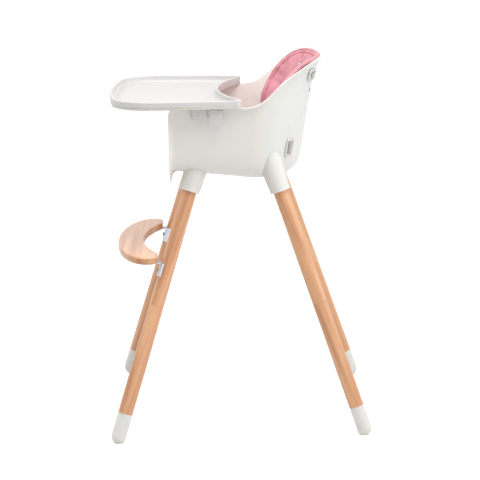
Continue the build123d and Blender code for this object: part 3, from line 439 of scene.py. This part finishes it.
def wall_distance(angle, height):
    """From the seat's middle line to the inside of the shell, at an angle from straight back."""
    inside_bend = floor_bend - shell_wall
    draw = floor_bend - math.sqrt(inside_bend**2 - max(0.0, floor_bend - height) ** 2)
    spread = flare * max(0.0, (height - flare_from) / flare_over) ** 2
    half = half_floor + height * math.tan(side_lean) - draw
    depth = back_floor + height * math.tan(back_lean) + spread - draw
    corner = corner_bend - draw
    back = ((half - corner) ** 2 + depth**2 - corner**2) / (2 * (depth - corner))
    way = Vector((math.sin(math.radians(abs(angle))), math.cos(math.radians(abs(angle)))))
    side, rear = Vector((half - corner, 0)), Vector((0, depth - back))
    meet = rear + (side - rear).normalized() * back
    on_back = meet.x * way.y >= meet.y * way.x
    centre, radius = (rear, back) if on_back else (side, corner)
    along = centre.dot(way)
    return along + math.sqrt(radius**2 - centre.dot(centre) + along**2)


def cushion_place(angle, height, thickness):
    """Place in front of the shell's inside, by a thickness."""
    turn = math.radians(angle)
    reach = wall_distance(angle, height) - shell_gap - thickness
    return seat_point(math.sin(turn) * reach, centre_reach + math.cos(turn) * reach, height)


def cushion_span(angle):
    """Lower and upper edge of the back cushion at an angle."""
    low = low_middle + low_rise * (angle / wing) ** 2
    return low, top_middle * math.sqrt(1 - (abs(angle) / top_turn) ** top_roundness)


def puff(name, front, back, seams, slits, reach_limit):
    """Closed pad from a front and a back grid, blown up between its sewn lines.

    Each slit for a strap is its first and last column and its first and last row.
    """
    columns, rows = len(front), len(front[0])
    points = [point for column in front + back for point in column]
    behind = columns * rows
    faces, uses, loops = [], [], []
    cut = {(i, j) for i0, i1, j0, j1 in slits for i in range(i0, i1) for j in range(j0, j1)}
    for i in range(columns - 1):
        for j in range(rows - 1):
            if (i, j) in cut:
                continue
            a, b, c, d = i * rows + j, (i + 1) * rows + j, (i + 1) * rows + j + 1, i * rows + j + 1
            faces += [(a, b, c, d), (d + behind, c + behind, b + behind, a + behind)]
            uses += [0, 1]
    rim = [i * rows for i in range(columns)] + [(columns - 1) * rows + j for j in range(1, rows)]
    rim += [i * rows + rows - 1 for i in range(columns - 2, -1, -1)] + [j for j in range(rows - 2, 0, -1)]
    for a, b in zip(rim, rim[1:] + rim[:1]):
        faces.append((b, a, a + behind, b + behind))
        uses.append(0)
    for i0, i1, j0, j1 in slits:
        loop = [i * rows + j0 for i in range(i0, i1)] + [i1 * rows + j for j in range(j0, j1)]
        loop += [i * rows + j1 for i in range(i1, i0, -1)] + [i0 * rows + j for j in range(j1, j0, -1)]
        loops.append(loop)
        for a, b in zip(loop, loop[1:] + loop[:1]):
            faces.append((a, b, b + behind, a + behind))
            uses.append(1)
    mesh = bpy.data.meshes.new(name)
    mesh.from_pydata(points, [], faces)
    mesh.polygons.foreach_set("material_index", uses)
    mesh.polygons.foreach_set("use_smooth", [True] * len(faces))
    made = bpy.data.objects.new(name, mesh)
    scene.collection.objects.link(made)
    sewn = made.vertex_groups.new(name="sewn")
    fixed = set(range(behind, 2 * behind)) | set(rim)
    fixed |= {i * rows + j for i in seams for j in range(rows)}
    fixed |= {spot for loop in loops for spot in loop}
    sewn.add(sorted(fixed), 1.0, "REPLACE")
    blowing_steps = 20
    cloth = made.modifiers.new("wadding", "CLOTH")
    cloth.settings.vertex_group_mass = "sewn"
    cloth.settings.quality = 6
    cloth.settings.mass = 0.2
    cloth.settings.tension_stiffness = 14
    cloth.settings.compression_stiffness = 14
    cloth.settings.bending_stiffness = 0.4
    cloth.settings.shrink_min = -0.035
    cloth.settings.use_pressure = True
    cloth.settings.uniform_pressure_force = 4
    cloth.settings.effector_weights.gravity = 0
    cloth.collision_settings.use_collision = False
    cloth.point_cache.frame_end = blowing_steps + 4
    for step in range(1, blowing_steps + 1):
        scene.frame_set(step)
    blown = made.evaluated_get(bpy.context.evaluated_depsgraph_get()).data
    settled = []
    for start, end in zip(points, blown.vertices):
        move = end.co - start
        settled.append(start + move * min(1.0, reach_limit / max(move.length, 1e-9)))
    made.modifiers.remove(cloth)
    scene.frame_set(1)
    for vertex, place in zip(mesh.vertices, settled):
        vertex.co = place
    mesh.update()
    return made, loops


def crown(share, edge, seam, panel, first, last):
    """Thickness across one sewn panel, thinner at the cushion's own ends."""
    low = edge if (first and share < 0.5) or (last and share > 0.5) else seam
    return low + (panel - low) * math.sin(math.pi * share)


panels = 8
panel_steps = 14
columns = panels * panel_steps
rows_up = 46
edge_thick, seam_thick, panel_thick, slit_thick = 0.0045, 0.0072, 0.0138, 0.0075
crown_share = 0.86
even_share = 0.35
back_slits = [(76, 83, 36, 37), (67, 74, 29, 30), (95, 96, 9, 14)]
back_slits += [(columns - i1, columns - i0, j0, j1) for i0, i1, j0, j1 in back_slits]
drawn_thin = set()
for i0, i1, j0, j1 in back_slits:
    drawn_thin |= {(i, j) for i in range(i0, i1 + 1) for j in range(j0, j1 + 1)}
front, back = [], []
for i in range(columns + 1):
    angle = -wing + 2 * wing * i / columns
    panel = min(i // panel_steps, panels - 1)
    share = i / panel_steps - panel
    full = crown(share, edge_thick, seam_thick, panel_thick, panel == 0, panel == panels - 1)
    low, high = cushion_span(angle)
    front.append([])
    back.append([])
    for j in range(rows_up + 1):
        eased = 0.5 - 0.5 * math.cos(math.pi * j / rows_up)
        height = low + (high - low) * (even_share * j / rows_up + (1 - even_share) * eased)
        swell = 1 - (2 * (height - low) / (high - low) - 1) ** 2
        thick = edge_thick + (full - edge_thick) * swell * crown_share
        thick = min(thick, slit_thick) if (i, j) in drawn_thin else thick
        front[-1].append(cushion_place(angle, height, thick))
        back[-1].append(cushion_place(angle, height, 0.0))
seams = range(panel_steps, columns, panel_steps)
back_cushion, back_loops = puff("back_cushion", front, back, seams, back_slits, reach_limit=0.0045)


def woven(name, tone, thread, depth, fuzz):
    """Woven cloth: fine crossing threads from the piece's own cloth coordinates, with uneven dye and painted
    shade between the threads.
    """
    one_band_a_metre = 0.314
    faded = (0.9, 0.86, 0.87)
    made, tree, links, out = node_tree(name)
    skin = tree.new("ShaderNodeBsdfPrincipled")
    skin.inputs["Sheen Weight"].default_value = fuzz
    skin.inputs["Sheen Roughness"].default_value = 0.45
    skin.inputs["IOR"].default_value = 1.45
    where = tree.new("ShaderNodeUVMap")
    where.uv_map = "cloth"
    threads = []
    for way in ("X", "Y"):
        wave = tree.new("ShaderNodeTexWave")
        wave.bands_direction = way
        wave.inputs["Scale"].default_value = one_band_a_metre / thread
        wave.inputs["Distortion"].default_value = 0.6
        wave.inputs["Detail"].default_value = 1
        links.new(where.outputs["UV"], wave.inputs["Vector"])
        threads.append(wave.outputs["Fac"])
    weave = tree.new("ShaderNodeMath")
    weave.operation = "MULTIPLY"
    links.new(threads[0], weave.inputs[0])
    links.new(threads[1], weave.inputs[1])
    dye = tree.new("ShaderNodeTexNoise")
    dye.inputs["Scale"].default_value = 34
    dye.inputs["Detail"].default_value = 5
    links.new(where.outputs["UV"], dye.inputs["Vector"])
    tint = tree.new("ShaderNodeValToRGB")
    tint.color_ramp.elements[0].position = 0.28
    tint.color_ramp.elements[0].color = (*(part * share for part, share in zip(tone, faded)), 1)
    tint.color_ramp.elements[1].position = 0.72
    tint.color_ramp.elements[1].color = (*tone, 1)
    links.new(dye.outputs["Fac"], tint.inputs["Fac"])
    # Painted shade: the colour is darkened where the weave is low, between the threads.
    painted_weave_shade = tree.new("ShaderNodeMix")
    painted_weave_shade.data_type = "RGBA"
    painted_weave_shade.blend_type = "MULTIPLY"
    painted_weave_shade.inputs["B"].default_value = (0.92, 0.87, 0.885, 1)
    low = tree.new("ShaderNodeMapRange")
    low.inputs["From Min"].default_value = 0.35
    low.inputs["From Max"].default_value = 0.0
    links.new(weave.outputs[0], low.inputs["Value"])
    links.new(low.outputs["Result"], painted_weave_shade.inputs["Factor"])
    links.new(tint.outputs["Color"], painted_weave_shade.inputs["A"])
    links.new(painted_weave_shade.outputs["Result"], skin.inputs["Base Color"])
    rough = tree.new("ShaderNodeMapRange")
    rough.inputs["To Min"].default_value = 0.72
    rough.inputs["To Max"].default_value = 0.9
    links.new(dye.outputs["Fac"], rough.inputs["Value"])
    links.new(rough.outputs["Result"], skin.inputs["Roughness"])
    bump = tree.new("ShaderNodeBump")
    bump.inputs["Strength"].default_value = depth
    bump.inputs["Distance"].default_value = thread * 0.5
    links.new(weave.outputs[0], bump.inputs["Height"])
    links.new(bump.outputs["Normal"], skin.inputs["Normal"])
    links.new(skin.outputs[0], out.inputs["Surface"])
    return made


def cut_cloth(made, flat):
    """Cloth coordinates in metres on every face, from a flat place for each vertex."""
    layer = made.data.uv_layers.new(name="cloth")
    for loop in made.data.loops:
        layer.data[loop.index].uv = flat[loop.vertex_index]


cloth_radius, cloth_tall = 0.205, 0.28
flat = []
for column in range(columns + 1):
    turn = math.radians(-wing + 2 * wing * column / columns)
    for row in range(rows_up + 1):
        flat.append((cloth_radius * turn, cloth_tall * row / rows_up))
cut_cloth(back_cushion, flat + flat)
pink_cotton = woven("pink_cotton", (0.83, 0.37, 0.435), thread=0.00055, depth=0.22, fuzz=0.3)
navy_backing = woven("navy_backing", (0.035, 0.04, 0.075), thread=0.0007, depth=0.4, fuzz=0.1)
back_cushion.data.materials.append(pink_cotton)
back_cushion.data.materials.append(navy_backing)
back_cushion.modifiers.new("soften", "SUBSURF").render_levels = 1
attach(back_cushion, "chair")
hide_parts("back_pad")

# Edge binding of the back cushion: pink cotton tape of nearly its shade, folded over the edge all round.
# One row of dark pink lockstitch holds it, just inside its fold.
tape_step = 0.003
tape_lift, thread_lift = 0.0008, 0.0009
stitch_inset = 0.0092
look_from, look_through = 0.03, 0.045
stitch_pitch = 0.0052
thread_half_wide, thread_half_high = 0.00055, 0.00045
thread_sides = 6


def even_loop(points, gap):
    """Closed line through points, with even steps and eased corners."""
    lengths = [(b - a).length for a, b in zip(points, points[1:] + points[:1])]
    count = int(sum(lengths) / gap)
    step = sum(lengths) / count
    line, index, done = [], 0, 0.0
    for number in range(count):
        while done + lengths[index] < number * step:
            done += lengths[index]
            index += 1
        a, b = points[index], points[(index + 1) % len(points)]
        line.append(a.lerp(b, (number * step - done) / lengths[index]))
    easing_rounds = 4
    for turn in range(easing_rounds):
        line = [(a + b * 2 + c) / 4 for a, b, c in zip([line[-1]] + line[:-1], line, line[1:] + line[:1])]
    return line


def swept(name, rings, flat):
    """Closed tube of rings that meet end to end."""
    points = [point for ring in rings for point in ring]
    count = len(rings[0])
    faces = []
    for i in range(len(rings)):
        after = (i + 1) % len(rings)
        for j in range(count):
            k = (j + 1) % count
            faces.append((i * count + j, after * count + j, after * count + k, i * count + k))
    mesh = bpy.data.meshes.new(name)
    mesh.from_pydata(points, [], faces)
    mesh.polygons.foreach_set("use_smooth", [True] * len(faces))
    made = bpy.data.objects.new(name, mesh)
    scene.collection.objects.link(made)
    cut_cloth(made, flat)
    return made


def bind(name, edge, inward, facing, surface, half):
    """Tape round an edge line: over the front by 9.6 mm, round the edge and 7 mm onto the back."""
    rings, stitches, flat = [], [], []
    shape = [(-9.6, None), (-8.6, None), (-5.6, None), (-2.6, None), (-0.4, 0.95), (0.9, 0.5), (1.2, 0.0)]
    shape += [(0.9, -0.6), (-0.6, -1.0), (-7.2, -1.06), (-7.2, -0.8), (-0.6, -0.7), (-2.5, 0.5), (-9.6, 0.7)]
    for number, place in enumerate(edge):
        tangent = (edge[(number + 1) % len(edge)] - edge[number - 1]).normalized()
        front = facing(place)
        out = tangent.cross(front).normalized()
        if out.dot(inward(place)) > 0:
            out = -out
        front = (front - tangent * front.dot(tangent) - out * front.dot(out)).normalized()
        ring, top = [], half
        for across, height in shape:
            spot = place + out * across / 1000
            if height is None:
                hit = surface.ray_cast(spot + front * look_from, -front, look_through)
                top = (hit[0] - spot).dot(front) + tape_lift if hit[0] else top
                ring.append(spot + front * top)
            else:
                ring.append(spot + front * half * height)
            flat.append((number * tape_step, across / 1000))
        rings.append(ring)
        line = place - out * stitch_inset
        hit = surface.ray_cast(line + front * look_from, -front, look_through)
        rise = (hit[0] - line).dot(front) + thread_lift if hit[0] else half
        stitches.append((line + front * rise, front))
    return swept(name, rings, flat), stitches


def dashes(name, line, closed, finish):
    """Row of lockstitches along a line of places and facings, each a small rounded bar."""
    shares, sizes = (0.0, 0.18, 0.5, 0.52, 0.64), (0.35, 1.0, 1.0, 1.0, 0.35)
    points, faces = [], []
    ends = list(zip(line, line[1:] + line[:1])) if closed else list(zip(line, line[1:]))
    long = sum((b[0] - a[0]).length for a, b in ends)
    count = max(1, int(long / stitch_pitch))
    walked, index = 0.0, 0
    for number in range(count):
        spots = []
        for share in shares:
            goal = (number + share) * long / count
            while index < len(ends) - 1 and walked + (ends[index][1][0] - ends[index][0][0]).length < goal:
                walked += (ends[index][1][0] - ends[index][0][0]).length
                index += 1
            a, b = ends[index]
            part = (goal - walked) / max((b[0] - a[0]).length, 1e-9)
            spots.append((a[0].lerp(b[0], part), a[1], (b[0] - a[0]).normalized()))
        base = len(points)
        for (place, front, way), size in zip(spots, sizes):
            side = way.cross(front)
            for turn in range(thread_sides):
                angle = turn * math.tau / thread_sides
                aside, up = math.cos(angle) * thread_half_wide, math.sin(angle) * thread_half_high
                points.append(place + (side * aside + front * up) * size)
        for ring in range(len(shares) - 1):
            near = base + ring * thread_sides
            far = near + thread_sides
            for turn in range(thread_sides):
                k = (turn + 1) % thread_sides
                faces.append((near + turn, far + turn, far + k, near + k))
        faces.append(tuple(base + turn for turn in reversed(range(thread_sides))))
        faces.append(tuple(far + turn for turn in range(thread_sides)))
    mesh = bpy.data.meshes.new(name)
    mesh.from_pydata(points, [], faces)
    mesh.polygons.foreach_set("use_smooth", [True] * len(faces))
    mesh.materials.append(finish)
    made = bpy.data.objects.new(name, mesh)
    scene.collection.objects.link(made)
    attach(made, "chair")
    return made


def surface_of(made):
    """Search tree over a piece's faces."""
    return BVHTree.FromPolygons([v.co for v in made.data.vertices], [p.vertices for p in made.data.polygons])


edge_steps, end_steps = 120, 30
turns = [-wing + 2 * wing * i / edge_steps for i in range(edge_steps + 1)]
half_edge = edge_thick / 2
edge_line = [cushion_place(angle, cushion_span(angle)[0], half_edge) for angle in turns]
low, high = cushion_span(wing)
climb = [low + (high - low) * i / end_steps for i in range(1, end_steps + 1)]
edge_line += [cushion_place(wing, height, half_edge) for height in climb]
edge_line += [cushion_place(angle, cushion_span(angle)[1], half_edge) for angle in turns[-2::-1]]
edge_line += [cushion_place(-wing, height, half_edge) for height in climb[-2::-1]]
edge_line = even_loop(edge_line, tape_step)
middle_height = 0.13
cushion_middle = [cushion_place(angle, middle_height, 0.0) for angle in range(-60, 61, 12)]
seat_axis = Vector((0, math.sin(tilt), math.cos(tilt)))
seat_middle = seat_point(0, centre_reach, 0)


def to_axis(place):
    """Level way from a place to the seat's middle line."""
    off = seat_middle - place
    return (off - seat_axis * off.dot(seat_axis)).normalized()


def to_cushion_middle(place):
    """Way from a place on the edge to the nearest of the cushion's middle."""
    near = min(cushion_middle, key=lambda spot: (spot - place).length)
    return near - place


back_surface = surface_of(back_cushion)
binding, stitch_line = bind(
    "back_binding", edge_line, to_cushion_middle, to_axis, back_surface, half=0.0028
)
pink_tape = woven("pink_tape", (0.79, 0.36, 0.42), thread=0.0005, depth=0.22, fuzz=0.25)
binding.data.materials.append(pink_tape)
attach(binding, "chair")
pink_thread = moulded("pink_thread", (0.66, 0.06, 0.15), rough=0.6, grain=0.1)
dashes("back_binding_stitches", stitch_line, True, pink_thread)

# Channel stitching of the back cushion: seven upright rows of the same thread.
# Each row lies in the groove between two panels and stops at the binding.
row_inset, row_lift = 0.009, 0.0003
row_steps = 120
for number in range(1, panels):
    angle = -wing + 2 * wing * number / panels
    low, high = cushion_span(angle)
    rows = [[]]
    turn = math.radians(angle)
    way = seat_point(math.sin(turn), centre_reach + math.cos(turn), 0) - seat_middle
    for step in range(row_steps):
        height = low + row_inset + (high - low - 2 * row_inset) * step / (row_steps - 1)
        hit = back_surface.ray_cast(seat_point(0, centre_reach, height), way)
        if hit[0]:
            rows[-1].append((hit[0] - way * row_lift, -way))
        elif rows[-1]:
            rows.append([])
    for part, row in enumerate(rows):
        dashes("channel_stitches_%d_%d" % (number, part), row, False, pink_thread)

# Seat cushion: the same quilted cotton, with channels across it and tape round its edge.
# It lies loose on the bucket's floor, drawn in at its corners.
seat_start = -0.148
seat_deep = 0.24
seat_centre = seat_start + seat_deep / 2
half_wide = 0.126
seat_roundness = 3
seat_lift = 0.004
seat_edge, seat_seam, seat_crown = 0.005, 0.0085, 0.0148
seat_panels, seat_panel_steps = 6, 8
seat_columns = seat_panels * seat_panel_steps
seat_rows = 50


def seat_half(reach):
    """Half width of the seat cushion at a reach."""
    end_share = 0.95
    share = end_share * abs(reach - seat_centre) / (seat_deep / 2)
    return half_wide * (1 - share**seat_roundness) ** (1 / seat_roundness)


seat_slits = [(33, 34, 23, 27)]
front, back = [], []
across_all = [math.sin(math.pi * (j / seat_rows - 0.5)) for j in range(seat_rows + 1)]
flat = []
for i in range(seat_columns + 1):
    reach = seat_start + seat_deep * i / seat_columns
    panel = min(i // seat_panel_steps, seat_panels - 1)
    share = i / seat_panel_steps - panel
    full = crown(share, seat_edge, seat_seam, seat_crown, panel == 0, panel == seat_panels - 1)
    front.append([])
    back.append([])
    for across in across_all:
        thick = seat_edge + (full - seat_edge) * (1 - across**2) * crown_share
        front[-1].append(seat_point(seat_half(reach) * across, reach, seat_lift + thick))
        back[-1].append(seat_point(seat_half(reach) * across, reach, seat_lift))
        flat.append((half_wide * across, seat_deep * i / seat_columns))
seams = range(seat_panel_steps, seat_columns, seat_panel_steps)
seat_cushion, seat_loops = puff("seat_cushion", front, back, seams, seat_slits, reach_limit=0.004)
cut_cloth(seat_cushion, flat + flat)
seat_cushion.data.materials.append(pink_cotton)
seat_cushion.data.materials.append(navy_backing)
seat_cushion.modifiers.new("soften", "SUBSURF").render_levels = 1
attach(seat_cushion, "chair")
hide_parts("seat_pad")
edge_height = seat_lift + seat_edge / 2
side_steps = 96
reaches = [seat_start + seat_deep * i / side_steps for i in range(side_steps + 1)]
edge_line = [seat_point(seat_half(reach), reach, edge_height) for reach in reaches]
edge_line += [seat_point(-seat_half(reach), reach, edge_height) for reach in reversed(reaches)]
edge_line = even_loop(edge_line, tape_step)
seat_surface = surface_of(seat_cushion)
centre = seat_point(0, seat_centre, edge_height)


def to_seat_centre(place):
    """Way from a place to the middle of the seat cushion."""
    return centre - place


def seat_facing(place):
    """Way that the seat cushion faces, the same at every place."""
    return seat_axis


binding, stitch_line = bind(
    "seat_binding", edge_line, to_seat_centre, seat_facing, seat_surface, half=0.0029
)
binding.data.materials.append(pink_tape)
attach(binding, "chair")
dashes("seat_binding_stitches", stitch_line, True, pink_thread)
above_seat = 0.05
seat_row_steps = 50
for number in range(1, seat_panels):
    reach = seat_start + seat_deep * number / seat_panels
    row = []
    for step in range(seat_row_steps):
        across = (seat_half(reach) - row_inset) * (2 * step / (seat_row_steps - 1) - 1)
        hit = seat_surface.ray_cast(seat_point(across, reach, above_seat), -seat_axis)
        if hit[0]:
            row.append((hit[0] + seat_axis * row_lift, seat_axis))
    dashes("seat_channel_stitches_%d" % number, row, False, pink_thread)

# Slit binding of both cushions: the same tape in narrow loops round the seven slits for the straps.
# Two for the shoulders, two spare below them, two for the waist and one in the seat.
slit_step = 0.0015
slit_tape_out, slit_tape_up = 0.0013, 0.0004
slit_tape_half_wide, slit_tape_half_thick = 0.0019, 0.001
slit_tape_sides, slit_tape_side = 10, 0.0009


def bound_slit(name, made, loop, facing):
    """Tape round the front edge of a slit."""
    line = even_loop([made.data.vertices[spot].co.copy() for spot in loop], slit_step)
    middle = sum(line, Vector()) / len(line)
    rings, flat = [], []
    for number, place in enumerate(line):
        tangent = (line[(number + 1) % len(line)] - line[number - 1]).normalized()
        front = facing(middle)
        out = tangent.cross(front).normalized()
        out = out if out.dot(place - middle) > 0 else -out
        ring = []
        for turn in range(slit_tape_sides):
            angle = turn * math.tau / slit_tape_sides
            across = slit_tape_out + slit_tape_half_wide * math.cos(angle)
            rise = slit_tape_up + slit_tape_half_thick * math.sin(angle)
            ring.append(place + out * across + front * rise)
            flat.append((number * slit_step, turn * slit_tape_side))
        rings.append(ring)
    tape = swept(name, rings, flat)
    tape.data.materials.append(pink_tape)
    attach(tape, "chair")


for number, loop in enumerate(back_loops):
    bound_slit("back_slit_tape_%d" % number, back_cushion, loop, to_axis)
bound_slit("seat_slit_tape", seat_cushion, seat_loops[0], seat_facing)

# Harness webbing: grey polyester, woven flat with thicker selvedges, in five straps.
# Each turns round the bar of a retainer outside the shell and comes in through its slot.
# Shoulder and waist straps fold back round a tongue's bar, and the crotch strap ends in the buckle.
long_run = 0.06
wide_ease, tight_ease = 0.024, 0.007
ease_share = 0.45


def webbing(name, route, across, strap):
    """Flat strap along a route, about 25 mm wide square to it, with rounded selvedges."""
    corners = [Vector(point) for point in route]
    line = [corners[0]]
    for before, corner, after in zip(corners, corners[1:], corners[2:]):
        shortest = min((before - corner).length, (after - corner).length)
        ease = wide_ease if shortest > long_run else tight_ease
        for other in (before, after):
            reach = min(ease, ease_share * (other - corner).length)
            line.append(corner + (other - corner).normalized() * reach)
        line.insert(-1, corner)
    line.append(corners[-1])
    easing_rounds = 3
    for turn in range(easing_rounds):
        eased = [line[0]]
        for a, b in zip(line, line[1:]):
            eased += [a.lerp(b, 0.25), a.lerp(b, 0.75)]
        line = eased + [line[-1]]
    across = Vector(across)
    shape = [(-12.2, 0.0), (-11.9, 0.62), (-11.0, 0.78), (-9.6, 0.62), (0, 0.6), (9.6, 0.62), (11.0, 0.78)]
    shape += [(11.9, 0.62), (12.2, 0.0), (11.9, -0.62), (11.0, -0.78), (9.6, -0.62), (0, -0.6), (-9.6, -0.62)]
    shape += [(-11.0, -0.78), (-11.9, -0.62)]
    points, flat, run = [], [], 0.0
    for number, place in enumerate(line):
        before, after = line[max(0, number - 1)], line[min(len(line) - 1, number + 1)]
        way = (after - before).normalized()
        thick = way.cross(across).normalized()
        run += (place - before).length
        for wide, high in shape:
            points.append(place + across * wide / 1000 + thick * high / 1000)
            flat.append((run, wide / 1000))
    count, faces = len(shape), []
    for i in range(len(line) - 1):
        for j in range(count):
            k = (j + 1) % count
            faces.append((i * count + j, (i + 1) * count + j, (i + 1) * count + k, i * count + k))
    faces.append(tuple(range(count - 1, -1, -1)))
    faces.append(tuple(range((len(line) - 1) * count, len(line) * count)))
    mesh = bpy.data.meshes.new(name)
    mesh.from_pydata(points, [], faces)
    mesh.polygons.foreach_set("use_smooth", [True] * len(faces))
    made = bpy.data.objects.new(name, mesh)
    scene.collection.objects.link(made)
    cut_cloth(made, flat)
    mesh.materials.append(grey_webbing)
    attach(made, "chair")
    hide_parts(strap)


grey_webbing = woven("grey_webbing", (0.58, 0.58, 0.59), thread=0.0011, depth=0.6, fuzz=0.15)
shoulder_route = [(0.086, 0.17634, 0.85927), (0.08805, 0.18232, 0.85866), (0.08805, 0.18304, 0.86573)]
shoulder_route += [(0.07884, 0.15615, 0.86844), (0.07432, 0.12877, 0.72878), (0.037, 0.01793, 0.7212)]
shoulder_route += [(0.03667, 0.01778, 0.72951), (0.0444, 0.04066, 0.73022)]
waist_route = [(0.12603, 0.12181, 0.69194), (0.13015, 0.12803, 0.69131), (0.13608, 0.12416, 0.6917)]
waist_route += [(0.11978, 0.09947, 0.69419), (0.06237, 0.00778, 0.70342), (0.0696, 0.00368, 0.70383)]
waist_route += [(0.08158, 0.02455, 0.70173)]
for side, sign in zip(sides, (1, -1)):
    route = [(sign * x, y, z) for x, y, z in shoulder_route]
    across = (-0.94655 * sign, 0.32094, -0.03232)
    webbing("shoulder_webbing_" + side, route, across, "shoulder_strap_" + side)
    route = [(sign * x, y, z) for x, y, z in waist_route]
    across = (0, 0.10019, 0.99497)
    webbing("waist_webbing_" + side, route, across, "waist_strap_" + side)
crotch_route = [(0, 0.01456, 0.62414), (0, 0.01374, 0.61603), (0, 0.02081, 0.61532), (0, 0.02435, 0.6505)]
webbing("crotch_webbing", crotch_route, (1, 0, 0), "crotch_strap")
